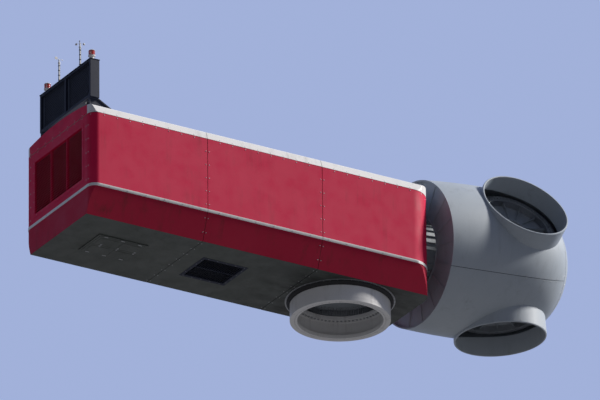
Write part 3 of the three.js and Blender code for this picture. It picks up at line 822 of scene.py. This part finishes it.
# %% Floor hatch
low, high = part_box("floor_hatch")
FRAME_BAR, LEAF_PLAY, LEAF_STEP = 0.06, 0.004, 0.008
margin = Vector((FRAME_BAR, FRAME_BAR, 0))
inner_low, inner_high = low + margin, high - margin
hatch = [soften(without(block(low + Z * 0.012, high), block(inner_low - Z, inner_high + Z)), 0.005)]
fittings = bmesh.new()
middle_x, leaf_z = (low.x + high.x) / 2, low.z + LEAF_STEP
for side in (1, -1):
    y0, y1 = sorted((side * LEAF_PLAY, side * (inner_high.y - LEAF_PLAY)))
    hatch.append(slab((inner_low.x + LEAF_PLAY, y0, leaf_z),
                      (inner_high.x - LEAF_PLAY, y1, high.z), 0.006))
    for x in (middle_x - 0.36, middle_x + 0.36):
        hatch.append(slab((x - 0.29, y0 + 0.09, low.z),
                          (x + 0.29, y1 - 0.09, low.z + 0.009), 0.008))
    for x in (middle_x - 0.55, middle_x, middle_x + 0.55):
        hinge = Vector((x, side * (inner_high.y + 0.005), leaf_z))
        rod(hinge - X * 0.06, hinge + X * 0.06, 0.012, 12, fittings)
        latch = Vector((x + 0.12, side * 0.045, leaf_z))
        rod(latch, latch - Z * 0.006, 0.03, 18, fittings)
        rod(latch, latch - Z * 0.012, 0.01, 6, fittings)
# The hatch takes the dark under paint, painted shade.
piece(hatch, "crane_hatch", SHADED_UNDER_PAINT, "floor_hatch")
piece(fittings, "crane_hatch_fittings", ZINC)

# %% [markdown]
# ## Tower top, yaw ring and skirt
# The nacelle stands on a toothed yaw ring, bolted to the tower-top ring under it. That ring's wall is
# thin between two heavy flanges, and the lower one has the bolt holes of the joint below. A rubber
# skirt, clamped under the floor, keeps rain out of the gap and stays clear of the turning faces.

# %% Tower top
TOWER_R, FLANGE_IN_R, WALL_IN_R, HOLES_R = 1.45, 1.24, 1.42, 1.31
top_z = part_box("tower_top_ring")[1].z
yaw_low, yaw_high = (corner.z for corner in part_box("yaw_ring"))
tower = soften(turned([
    (FLANGE_IN_R, 0), (TOWER_R, 0), (TOWER_R, 0.105), (TOWER_R + 0.003, 0.112),
    (TOWER_R + 0.003, 0.12), (TOWER_R, 0.127), (TOWER_R, top_z), (FLANGE_IN_R, top_z),
    (FLANGE_IN_R, top_z - 0.11), (WALL_IN_R - 0.02, top_z - 0.125), (WALL_IN_R, top_z - 0.145),
    (WALL_IN_R, 0.145), (WALL_IN_R - 0.02, 0.125), (FLANGE_IN_R, 0.11)], steps=120), 0.003)
hole = rod((HOLES_R, 0, -0.1), (HOLES_R, 0, 0.2), 0.021, 12)
tower = without(tower, repeated(hole, turns(80)))
piece(tower, "tower_top", ROOF_PAINT, "tower_top_ring", "tower_top")

# %% Yaw ring
GEAR_R = 1.275
tooth = block((FLANGE_IN_R, -0.017, yaw_low + 0.004), (GEAR_R + 0.002, 0.017, yaw_high - 0.004))
inner_edge = [vert for vert in tooth.verts if vert.co.x < GEAR_R]
bmesh.ops.scale(tooth, vec=(1, 0.55, 1), verts=inner_edge)
yaw_ring = soften(ring(GEAR_R, TOWER_R - 0.002, yaw_low, yaw_high, steps=120), 0.004)
piece([yaw_ring, repeated(tooth, turns(108))], "yaw_gear", STEEL, "yaw_ring", "tower_top")
yaw_bolts = bolts(around(HOLES_R + 0.005, top_z - 0.116, 72, facing=-Z), 0.026)
piece(yaw_bolts, "yaw_bolts", ZINC, body="tower_top")

# %% Skirt
clamp_z, clamp_thick = FLOOR_Z - HAIR, 0.011
clamp = soften(ring(1.50, 1.588, clamp_z - clamp_thick, clamp_z), 0.002)
clamp_bolts = bolts(around(1.555, clamp_z - clamp_thick, 48, facing=-Z), 0.014)
piece([clamp, clamp_bolts], "skirt_clamp", ZINC)
piece(turned([(1.498, 0.588), (1.535, 0.588), (1.542, 0.56), (1.52, 0.525), (1.492, 0.497),
              (1.474, 0.483), (1.466, 0.471), (1.461, 0.473), (1.464, 0.487), (1.482, 0.503),
              (1.505, 0.53), (1.52, 0.56)]), "yaw_skirt_rubber", RUBBER, "yaw_skirt")

# %% What shows of the main frame
MANWAY_R = 0.6
frame_z, rim_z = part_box("main_frame")[0].z - HAIR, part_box("main_frame")[0].z - 0.03
manway = soften(ring(MANWAY_R, MANWAY_R + 0.06, rim_z, frame_z, steps=64), 0.004)
piece([manway, bolts(around(1.13, frame_z, 60, facing=-Z), 0.026),
       bolts(around(MANWAY_R + 0.03, rim_z, 16, facing=-Z), 0.012)], "manway_rim", ZINC)

# %% [markdown]
# ## On the roof
# A rough strip to walk on runs along the middle, between low rails for safety lines. Two hatches
# stand on low coamings that are cut to the curve of the roof.

# %% Roof: walking strip
STRIP_HALF = 0.42


def on_roof(form, x0, x1, y0, y1, thickness=TRIM_THICK):
    """A plate that lies on the roof, cut from the skin of a form."""
    return skin(form, (x0, y0, SIDE_TOP_Z), (x1, y1, CROWN_Z + 1), thickness)


hatch_boxes = {name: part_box(f"roof_hatch_{name}") for name in ("rear", "front")}
stops = [x for low, high in hatch_boxes.values() for x in (low.x - 0.1, high.x + 0.1)]
stops = [REAR_X + 1.1] + stops + [FRONT_X - 0.8]
strip_parts = []
for x0, x1 in zip(stops[::2], stops[1::2]):
    inside = [joint for joint in JOINTS if x0 < joint < x1]
    cuts = [x0] + [x for joint in inside for x in (joint - gap, joint + gap)] + [x1]
    strip_parts += [on_roof(grip_mould, a, b, -STRIP_HALF, STRIP_HALF, GRIP_HEIGHT - HAIR)
                    for a, b in zip(cuts[::2], cuts[1::2])]
piece(strip_parts, "roof_grip", GRIP_PAINT)

# %% Roof: rails
RAIL_Y, RAIL_RISE, RAIL_R, RAIL_POSTS = 0.95, 0.14, 0.02, 8
rails, feet = [], []
start, end, foot = REAR_X + 1.3, FRONT_X - 0.9, roof_z(RAIL_Y) + 0.001
top = foot + RAIL_RISE
for y in (RAIL_Y, -RAIL_Y):
    rails.append(pipe([(start, y, foot), (start, y, top), (end, y, top), (end, y, foot)], RAIL_R))
    for i in range(RAIL_POSTS + 1):
        x = start + (end - start) * i / RAIL_POSTS
        if x not in (start, end):
            rails.append(rod((x, y, foot), (x, y, top), RAIL_R * 0.7))
        rails.append(on_roof(trim_mould, x - 0.06, x + 0.06, y - 0.05, y + 0.05))
        feet += [(x + dx, y + dy, foot) for dx in (-0.042, 0.042) for dy in (-0.033, 0.033)]
piece(rails + [screws(seated(trim_tree, feet), 0.009, 0.006)], "roof_rails", ZINC)

# %% Roof: hatches
hardware = []
for name, (low, high) in hatch_boxes.items():
    rim_z = high.z - 0.042
    coaming = without(
        block((low.x + 0.02, low.y + 0.02, low.z - 0.08), (high.x - 0.02, high.y - 0.02, rim_z)),
        block((low.x + 0.06, low.y + 0.06, low.z - 0.2), (high.x - 0.06, high.y - 0.06, rim_z + 1)),
        housing_form(-HAIR))
    lid = slab((low.x, low.y, rim_z + 0.003), high, 0.014, 3)
    top = [face for face in lid.faces if face.normal.z > 0.99]
    bmesh.ops.inset_region(lid, faces=top, thickness=0.09, depth=0)
    top = [face for face in lid.faces if face.normal.z > 0.99 and face.calc_area() > 0.5]
    bmesh.ops.inset_region(lid, faces=top, thickness=0.02, depth=-0.008)
    piece([coaming, lid], f"roof_hatch_{name}_lid", ROOF_PAINT, f"roof_hatch_{name}")
    for y in (-0.28, 0.28):
        hinge = Vector((low.x - 0.004, y, rim_z + 0.01))
        hardware += [rod(hinge - Y * 0.06, hinge + Y * 0.06, 0.013),
                     slab((high.x - 0.004, y - 0.025, rim_z - 0.022),
                          (high.x + 0.012, y + 0.025, rim_z + 0.03), 0.003)]
    x, low_z, high_z = (low.x + high.x) / 2 + 0.42, high.z - 0.002, high.z + 0.045
    hardware.append(pipe([(x, -0.1, low_z), (x, -0.1, high_z), (x, 0.1, high_z), (x, 0.1, low_z)],
                         0.008, 0.02))

# %% Roof: lifting eyes
EYE_R, EYE_WIRE, EYE_Y = 0.032, 0.011, 1.5
wire = [(EYE_R + EYE_WIRE * math.cos(angle), EYE_WIRE * math.sin(angle))
        for angle in [math.pi * i / 4 for i in range(8)]]
seat = [(0, -0.004), (0.032, 0.0), (0.03, 0.008), (0.014, 0.02), (0, 0.02)]
for x0, x1 in BAYS.values():
    for x in (max(x0, REAR_X) + 1.3, min(x1, FRONT_X) - 0.6):
        for y in (EYE_Y, -EYE_Y):
            foot = Vector((x, y, roof_z(y)))
            hardware += [turned(wire, axes(X, Z, foot + Z * 0.05), 24),
                         turned(seat, Matrix.Translation(foot), 20)]
piece(hardware, "roof_fittings", ZINC)

# %% [markdown]
# ## Radiator
# The cooler stands across the rear of the roof, where the wind blows through it. Each core has end
# tanks, flat tubes and thin fins, and the coolant comes up in two lagged pipes. Welded brackets
# with hollow flanks carry it, on pads cut to the roof.

# %% Radiator: casing
low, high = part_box("cooler_frame")
cores = {name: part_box(f"cooler_core_{name}") for name in ("left", "right")}
casing = soften(without(block(low, high - Z * 0.02), *[
    block((low.x - 1, a.y - HAIR, a.z - HAIR), (high.x + 1, b.y + HAIR, b.z + HAIR))
    for a, b in cores.values()]), 0.008)
cap = slab((low.x - 0.015, low.y - 0.01, high.z - 0.0195),
           (high.x + 0.015, high.y + 0.01, high.z), 0.004)
piece([casing, cap], "cooler_casing", DARK_METAL, "cooler_frame")

# %% Radiator: cores
TANK, TUBES, FIN_STEP = 0.09, 20, 0.014
TUBE_HALF, FIN_HALF = 0.005, 0.0008
for name, (a, b) in cores.items():
    y0, y1 = a.y + TANK, b.y - TANK
    tanks = [slab((a.x, start, a.z + PLAY), (b.x, end, b.z - PLAY), 0.02, 3)
             for start, end in ((a.y + PLAY, y0), (y1, b.y - PLAY))]
    core = bmesh.new()
    bars = [(a.z + (b.z - a.z) * (i + 0.5) / TUBES, 0.02) for i in range(TUBES)]
    for z, inset in bars + [(a.z + 0.006, 0.01), (b.z - 0.006, 0.01)]:
        block((a.x + inset, y0 - 0.001, z - TUBE_HALF),
              (b.x - inset, y1 + 0.001, z + TUBE_HALF), core)
    for i in range(1, int((y1 - y0) / FIN_STEP)):
        y = y0 + FIN_STEP * i
        block((a.x + 0.028, y - FIN_HALF, a.z + 0.012),
              (b.x - 0.028, y + FIN_HALF, b.z - 0.012), core)
    piece(tanks + [core], f"cooler_fins_{name}", FIN_METAL, f"cooler_core_{name}")

# %% Radiator: brackets and pads
pads, pad_spots = [], []
for name in cores:
    a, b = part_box(f"cooler_leg_{name}")
    toe = b.x + 0.03
    bracket = bmesh.new()
    corners = [(a.x, a.z - 0.1), (toe, a.z - 0.1), (toe, a.z + 0.11), (high.x, b.z), (a.x, b.z)]
    face = bracket.faces.new([bracket.verts.new((x, a.y, z)) for x, z in corners])
    grown = bmesh.ops.extrude_face_region(bracket, geom=[face])["geom"]
    bmesh.ops.translate(bracket, vec=(0, b.y - a.y, 0),
                        verts=[part for part in grown if isinstance(part, bmesh.types.BMVert)])
    bmesh.ops.recalc_face_normals(bracket, faces=bracket.faces[:])
    for thickness, depth in ((0.035, 0), (0.003, -0.026)):
        flanks = [f for f in bracket.faces if abs(f.normal.y) > 0.99 and len(f.verts) == 5]
        bmesh.ops.inset_individual(bracket, faces=flanks, thickness=thickness, depth=depth)
    bracket = without(bracket, housing_form(-TRIM_HEIGHT - 0.001))
    piece(bracket, f"cooler_bracket_{name}", DARK_METAL, f"cooler_leg_{name}")
    pads.append(on_roof(trim_mould, a.x, toe, a.y - 0.05, b.y + 0.05))
    pad_spots += [(a.x + x, y, a.z)
                  for x in (0.06, 0.28, 0.5, 0.72) for y in (a.y - 0.026, b.y + 0.026)]
piece(soften(together(*pads), 0.003), "cooler_pads", ZINC)

# %% Radiator: coolant pipes
PIPE_Y, PIPE_R, PIPE_RUN = 1.05, 0.045, 0.45
PIPE_DROP = 0.17  # from the casing down to where the pipe turns forward
lagging, flanges = [], []
x, turn_z, foot = (low.x + high.x) / 2, low.z - PIPE_DROP, roof_z(PIPE_Y)
boot = [(0.03, -0.015), (0.09, -0.015), (0.085, 0.012), (0.062, 0.03), (0.055, 0.07), (0.03, 0.07)]
for y in (PIPE_Y, -PIPE_Y):
    at = Matrix.Translation((x, y, 0))
    lagging += [pipe([(x, y, low.z + 0.01), (x, y, turn_z), (x + PIPE_RUN, y, turn_z),
                      (x + PIPE_RUN, y, foot - 0.01)], PIPE_R, 0.12),
                turned(boot, Matrix.Translation((x + PIPE_RUN, y, foot)), 32)]
    flanges += [ring(0.03, 0.075, low.z - 0.03, low.z - 0.014, at, 32),
                ring(0.03, 0.075, low.z - 0.013, low.z - HAIR, at, 32),
                bolts(around(0.06, low.z - 0.03, 6, at, -Z), 0.008)]
piece([bolts(seated(trim_tree, pad_spots), 0.013)] + flanges, "cooler_bolts", ZINC)
piece(lagging, "coolant_pipes", RUBBER)

# %% [markdown]
# ## Lamps and wind sensors
# Two red warning lamps and two masts stand on the top bar. One mast has a cup wheel that measures
# the wind's speed, the other a vane that measures its direction.

# %% Lamps
LAMP_FOOT = [(0, 0), (0.12, 0), (0.12, 0.022), (0.1, 0.03), (0.068, 0.036), (0.064, 0.12),
             (0.09, 0.135), (0.104, 0.14), (0.104, 0.165), (0, 0.165)]
LAMP_TOP = [(0, 0.312), (0.094, 0.312), (0.094, 0.32), (0.06, 0.345), (0.012, 0.356), (0, 0.36)]
LAMP_GLASS = [(0.088 - 0.004 * (i % 2), 0.167 + 0.0095 * i) for i in range(16)]
for name in ("left", "right"):
    low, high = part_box(f"obstruction_light_{name}")
    at = Matrix.Translation(((low.x + high.x) / 2, (low.y + high.y) / 2, low.z))
    guard = bmesh.new()
    for point, _ in around(0.098, 0.16, 4, at):
        rod(point, point + Z * 0.155, 0.004, 8, guard)
    lamp = [turned(LAMP_FOOT, at, 48), turned(LAMP_TOP, at, 48), guard,
            bolts(around(0.108, 0.024, 6, at), 0.007)]
    piece(lamp, f"lamp_body_{name}", ROOF_PAINT, f"obstruction_light_{name}")
    piece(turned([(0, 0.167)] + LAMP_GLASS + [(0, 0.31)], at, 48), f"lamp_lens_{name}", LENS)

# %% Wind sensors: masts
low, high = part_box("wind_sensors")
MAST_Y, MAST_R = 0.6, 0.025
x, bar_z, head_z = (low.x + high.x) / 2, low.z + 0.04, high.z - 0.22
CLIP_STEP, CABLE_R = 0.15, 0.005
mast = [(0, bar_z - 0.002), (0.05, bar_z - 0.002), (0.05, bar_z + 0.01), (0.03, bar_z + 0.014),
        (MAST_R, bar_z + 0.05), (MAST_R, head_z), (0.034, head_z + 0.01), (0.034, head_z + 0.05),
        (0.02, head_z + 0.07), (0.02, head_z + 0.13), (0.012, head_z + 0.14), (0, head_z + 0.14)]
sensors, clips = [slab(low, (high.x, high.y, bar_z), 0.005)], []
for y in (-MAST_Y, MAST_Y):
    at, cable_x = Matrix.Translation((x, y, 0)), x + MAST_R + 0.006
    sensors += [turned(mast, at, 32), bolts(around(0.04, bar_z + 0.01, 4, at), 0.005)]
    clips += [ring(MAST_R - 0.001, MAST_R + 0.006, z, z + 0.02, at, 24)
              for z in (bar_z + 0.12 + CLIP_STEP * i for i in range(4))]
    clips.append(pipe([(cable_x, y, bar_z), (cable_x, y, head_z + 0.03)], CABLE_R))

# %% Wind sensors: cup wheel and vane
wheel = Matrix.Translation((x, -MAST_Y, head_z + 0.155))
knob = [(0, -0.016), (0.018, -0.014), (0.018, 0.01), (0.008, 0.018), (0, 0.018)]
bowl = [(0, 0.035), (0.018, 0.03), (0.03, 0.018), (0.035, 0), (0.033, 0), (0.028, 0.017),
        (0.017, 0.028), (0, 0.033)]
sensors.append(turned(knob, wheel, 24))
for turn in turns(3, wheel):
    sensors += [rod(turn @ (X * 0.01), turn @ (X * 0.095), 0.004, 10),
                turned(bowl, turn @ axes(X, Z, (0.125, 0, 0)), 24)]
vane = Vector((x, MAST_Y, head_z + 0.15))
sensors += [rod(vane - X * 0.1, vane + X * 0.1, 0.005, 12),
            slab(vane + Vector((-0.14, -0.0015, -0.02)),
                 vane + Vector((-0.05, 0.0015, 0.06)), 0.001),
            rod(vane + X * 0.085, vane + X * 0.125, 0.014, 16, tip=0.006)]
piece(sensors, "wind_masts", ROOF_PAINT, "wind_sensors")
piece(clips, "mast_cables", RUBBER)

# %% [markdown]
# ## Spinner
# The spinner is a turned shell of glass fibre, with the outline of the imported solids. Three
# segments meet between the blade seats, a nose closes the front, and a collar stands round each.

# %% Spinner: outline
SPINNER_R, SPINNER_REAR, NOSE_TIP, NOSE_JOINT = 2.23, -2.7, 2.1, 1.48
SPINNER_SKIN = 0.045
COLLAR_R, COLLAR_THICK, COLLAR_TOP = 1.30, 0.05, 2.28
BLADES = [Vector(joint["axis"]).normalized() for joint in frame["joints"]
          if joint["name"].startswith("blade_pitch")]
SEATS = [axes(AXIS, direction.cross(AXIS), HUB) for direction in BLADES]  # +Z out of each seat


def spinner_radius(u, inset=0.0):
    """The spinner's radius at a distance along the shaft from the hub centre."""
    full, tip = SPINNER_R - inset, NOSE_TIP - inset
    if u <= -1:
        return full - 0.06 * ((u + 1) / (SPINNER_REAR + 1)) ** 2
    return full * math.sqrt(max(1 - min((u + 1) / (tip + 1), 1) ** 3.2, 0))


def spinner_line(start, end, inset=0.0, count=30):
    """Points of the spinner's outline between two places along the shaft, closer near the nose."""
    end = min(end, NOSE_TIP - inset)
    places = [start + (end - start) * math.sin(math.pi / 2 * i / count) for i in range(count + 1)]
    return [(spinner_radius(u, inset), u) for u in places]


def spinner_body(inset, rear=SPINNER_REAR - 0.1):
    """The spinner's form as a full body."""
    return turned([(0, rear)] + spinner_line(rear, NOSE_TIP, inset), ROTOR)


def spinner_shell(start, end, count=30):
    """A length of the spinner's wall."""
    wall = spinner_line(start, end, 0, count) + spinner_line(start, end, SPINNER_SKIN, count)[::-1]
    return turned(wall, ROTOR)


# %% Spinner: segments and collars


def wedge(seat):
    """A third of the rotor about one blade seat, less the seams."""
    bm = block((-4, -6, 0), (NOSE_JOINT - gap, 6, 8))
    for side in (1, -1):
        normal = Vector((0, side * 0.5, -math.sqrt(0.75)))
        trim(bm, -normal * gap, normal, cap=True)
    return moved(bm, seat)


COLLAR_OUT_R = COLLAR_R + COLLAR_THICK
COLLAR_WALL = [(COLLAR_R, 1.2), (COLLAR_OUT_R, 1.2), (COLLAR_OUT_R, COLLAR_TOP - 0.02),
               (COLLAR_R + 0.036, COLLAR_TOP), (COLLAR_R + 0.012, COLLAR_TOP),
               (COLLAR_R, COLLAR_TOP - 0.012)]
for number, seat in enumerate(SEATS, 1):
    segment = combine(spinner_shell(SPINNER_REAR, NOSE_TIP), wedge(seat), "INTERSECT")
    collar = without(turned(COLLAR_WALL, seat), spinner_body(SPINNER_SKIN))
    segment = without(combine(segment, collar, "UNION"), rod(HUB, seat @ (Z * 6), COLLAR_R, 96))
    piece(segment, f"spinner_shell_{number}", SHADED_SPINNER_PAINT, f"spinner_segment_{number}", "rotor")

# %% Spinner: nose
nose = spinner_shell(NOSE_JOINT + gap, NOSE_TIP, 18)
plate = turned([(0, NOSE_TIP - 0.03), (0.2, NOSE_TIP - 0.03), (0.2, NOSE_TIP - 0.004),
                (0.17, NOSE_TIP + 0.003), (0, NOSE_TIP + 0.006)], ROTOR, 48)
piece([nose, plate], "spinner_cap", SHADED_SPINNER_PAINT, "spinner_nose", "rotor")

# %% Spinner: seals and screws
spinner_tree = BVHTree.FromBMesh(spinner_body(0, SPINNER_REAR))
inner_form = spinner_body(0.01)
strips = [ring(0.9, 2.2, NOSE_JOINT - SEAL_HALF, NOSE_JOINT + SEAL_HALF, ROTOR)]
heads = []
for seat in SEATS:
    fin = block((SPINNER_REAR + 0.01, -SEAL_HALF, -3), (NOSE_JOINT - 0.02, SEAL_HALF, 0))
    strips.append(moved(fin, seat))
    heads += [seat @ Vector((SPINNER_REAR + 0.15 + 0.34 * i, row, -SPINNER_R))
              for i in range(12) for row in (ROW, -ROW)]
seam_seals = [combine(without(strip, spinner_body(0.035)), inner_form.copy(), "INTERSECT")
              for strip in strips]
for u in (NOSE_JOINT - ROW, NOSE_JOINT + ROW):
    heads += [point for point, _ in around(spinner_radius(u), u, 42, ROTOR)]
heads = seated(spinner_tree, heads)
for seat in SEATS:
    heads += around(COLLAR_OUT_R, COLLAR_TOP - 0.06, 36, seat, X)
heads += around(0.18, NOSE_TIP + 0.001, 8, ROTOR)
piece(seam_seals, "spinner_seals", RUBBER, body="rotor")
piece(screws(heads, 0.015, 0.007), "spinner_screws", ZINC, body="rotor")

# %% Spinner: back plate
BACK_IN_R, BACK_FRONT, BACK_REAR = 1.10, -2.59, -2.64
SHEET_FRONT, SHEET_REAR = -2.608, -2.622
BACK_OUT_R = spinner_radius(BACK_REAR, 0.0515)
in_r, out_r = BACK_IN_R + 0.03, BACK_OUT_R - 0.03
plate = turned([(BACK_IN_R, BACK_REAR), (in_r, BACK_REAR), (in_r + 0.005, SHEET_REAR),
                (out_r - 0.005, SHEET_REAR), (out_r, BACK_REAR), (BACK_OUT_R, BACK_REAR),
                (BACK_OUT_R, BACK_FRONT), (out_r, BACK_FRONT), (out_r - 0.005, SHEET_FRONT),
                (in_r + 0.005, SHEET_FRONT), (in_r, BACK_FRONT), (BACK_IN_R, BACK_FRONT)], ROTOR)
rib = block((in_r - 0.002, -0.006, BACK_REAR + 0.002), (out_r + 0.002, 0.006, SHEET_REAR + 0.001))
piece([plate, repeated(rib, turns(18, ROTOR))], "spinner_back_plate", SHADED_SPINNER_PAINT,
      "spinner_back", "rotor")
plate_bolts = bolts(around((BACK_IN_R + BACK_OUT_R) / 2, SHEET_REAR, 18, ROTOR, -Z), 0.012)
piece(plate_bolts, "back_plate_bolts", ZINC, body="rotor")

# %% [markdown]
# ## Hub and pitch bearings
# Inside the collars lie the pitch bearings: an outer ring bolted to the cast hub, and an inner ring
# with the bolt holes of the seat. A ribbed plate with a manhole closes each one.

# %% Hub
HUB_R, BLADE_FACE, RIM_IN_R, RIM_OUT_R, RIM_TOP = 1.9, 1.4, 1.18, 1.29, 1.59
hub = bmesh.new()
bmesh.ops.create_uvsphere(hub, u_segments=96, v_segments=48, radius=HUB_R)
trim(hub, Z * -1.65, -Z, cap=True)
trim(hub, Z * 1.5, Z, cap=True)
moved(hub, ROTOR)
for direction in BLADES:
    trim(hub, HUB + direction * BLADE_FACE, direction, cap=True)
bmesh.ops.recalc_face_normals(hub, faces=hub.faces[:])
for direction in BLADES:
    between = axes(AXIS, (-direction).cross(AXIS), HUB)  # +Z out between two blade seats
    arm = moved(block((-0.6, -0.09, 1.2), (0.3, 0.09, 2.4)), between)
    hub = combine(hub, combine(arm, spinner_body(0.0505), "INTERSECT"), "UNION")
piece(hub, "hub_body", CAST_IRON, "hub_casting", "rotor")

# %% Bearing rims on the hub
rims = [soften(ring(RIM_IN_R, RIM_OUT_R, BLADE_FACE + HAIR, RIM_TOP, seat), 0.006)
        for seat in SEATS]
piece(rims, "bearing_outer_rings", STEEL, body="rotor")
rim_bolts = [bolts(around((RIM_IN_R + RIM_OUT_R) / 2, RIM_TOP, 60, seat), 0.024) for seat in SEATS]
piece(rim_bolts, "bearing_bolts", ZINC, body="rotor")

# %% Blade flanges
FLANGE_R, FLANGE_TOP, BORE_R, MANHOLE_R = 1.17, 1.64, 1.0, 0.3
PLATE_LOW, PLATE_TOP, COVER_TOP = 1.41, 1.45, 1.48
inner_ring = soften(ring(BORE_R, FLANGE_R, BLADE_FACE + 0.001, FLANGE_TOP), 0.005)
stud = (BORE_R + FLANGE_R) / 2
stud_hole = rod((stud, 0, FLANGE_TOP - 0.1), (stud, 0, FLANGE_TOP + 0.1), 0.019, 12)
inner_ring = without(inner_ring, repeated(stud_hole, turns(60)))

# %% Blade flanges: closing plate and manhole cover
closing = turned([(MANHOLE_R, PLATE_LOW), (BORE_R - HAIR, PLATE_LOW), (BORE_R - HAIR, PLATE_TOP),
                  (MANHOLE_R + 0.07, PLATE_TOP), (MANHOLE_R + 0.06, COVER_TOP),
                  (MANHOLE_R, COVER_TOP)])
rib = block((MANHOLE_R + 0.05, -0.008, PLATE_TOP - 0.001), (BORE_R - 0.001, 0.008, 1.56))
inner_top = [vert for vert in rib.verts if vert.co.x < 0.5 and vert.co.z > 1.5]
bmesh.ops.translate(rib, vec=(0, 0, -0.075), verts=inner_top)
closing = together(closing, repeated(rib, turns(12)))
cover = turned([(0, 1.406), (MANHOLE_R - 0.004, 1.406), (MANHOLE_R - 0.004, 1.43), (0.24, 1.436),
                (0, 1.436)], steps=64)
handle = pipe([(-0.07, 0, 1.43), (-0.07, 0, 1.47), (0.07, 0, 1.47), (0.07, 0, 1.43)], 0.008, 0.02)
cover_bolts = bolts(around(MANHOLE_R + 0.03, COVER_TOP, 20) + around(0.93, PLATE_TOP, 36), 0.013)
lip_seal = turned([(FLANGE_R + HAIR, 1.57), (FLANGE_R + 0.004, 1.575), (FLANGE_R + 0.004, 1.6),
                   (FLANGE_R + HAIR, 1.605)])

# %% Blade flanges: one set in each seat
fitted = together(cover, handle, cover_bolts)
for number, seat in enumerate(SEATS, 1):
    for shape, name, finish, node_name in (
            (inner_ring, "bearing_inner_ring", STEEL, f"blade_flange_{number}"),
            (closing, "bearing_plate", CAST_IRON, None), (fitted, "manhole_cover", ZINC, None),
            (lip_seal, "bearing_seal", RUBBER, None)):
        piece(moved(shape.copy(), seat), f"{name}_{number}", finish, node_name, f"pitch_{number}")

# %% [markdown]
# ## Main bearing and shaft
# Between the front wall and the spinner, the ribbed housing of the main bearing comes out through a
# rubber collar, and the shaft's flange turns in front of it.

# %% Main bearing
BORE, REAR_END, FRONT_END = 0.57, -3.7, -2.1
WAIST_R, SHAFT_R, SHAFT_FLANGE_R = 0.93, 0.56, 0.9
bearing = turned([
    (0.4, REAR_END), (0.95, REAR_END), (HOUSING_R, REAR_END + 0.03), (HOUSING_R, -2.90),
    (WAIST_R, -2.86), (WAIST_R, -2.34), (HOUSING_R, -2.3), (HOUSING_R, -2.18), (0.97, -2.165),
    (0.915, -2.165), (0.91, FRONT_END - 0.001), (0.4, FRONT_END - 0.001)], ROTOR)
bearing = combine(bearing, block((1.46, -0.85, 1.5005), (1.98, 0.85, 2.4)), "UNION")
bearing = without(bearing, rod(HUB + AXIS * (REAR_END - 1), HUB + AXIS * (FRONT_END + 1), BORE, 96))
rib = block((WAIST_R - 0.005, -0.012, -2.88), (HOUSING_R - 0.002, 0.012, -2.31))
piece([bearing, repeated(rib, turns(28, ROTOR))], "bearing_casting", CAST_IRON,
      "main_bearing_housing")
piece(bolts(around(0.947, -2.165, 40, ROTOR), 0.017), "bearing_cover_bolts", ZINC)

# %% Rubber collar and shaft
collar = without(ring(0.983, 1.04, -3.4, -2.97, ROTOR), block((1, -2, 0), (FRONT_X + 0.001, 2, 5)))
piece(soften(collar, 0.008), "bearing_collar", RUBBER)
piece(turned([(0, -3.76), (SHAFT_R, -3.76), (SHAFT_R, FRONT_END), (0.88, FRONT_END),
              (SHAFT_FLANGE_R, FRONT_END + 0.02), (SHAFT_FLANGE_R, -1.86), (0.885, -1.85),
              (0.885, -1.83), (SHAFT_FLANGE_R, -1.82), (SHAFT_FLANGE_R, -1.67), (0.885, -1.6505),
              (0, -1.6505)], ROTOR), "shaft", STEEL, "main_shaft", "rotor")

# %% The frames inside keep their own shapes
for name in ("main_frame", "rear_frame"):
    materials = frame["nodes"][name].data.materials
    materials.clear()
    materials.append(CAST_IRON)

# %% Sizes, and the end
shown = [o for o in bpy.data.objects if o.type == "MESH" and not o.hide_render and o is not floor]
print("pieces:", len(shown), "triangles:",
      sum(sum(len(p.vertices) - 2 for p in o.data.polygons) for o in shown))
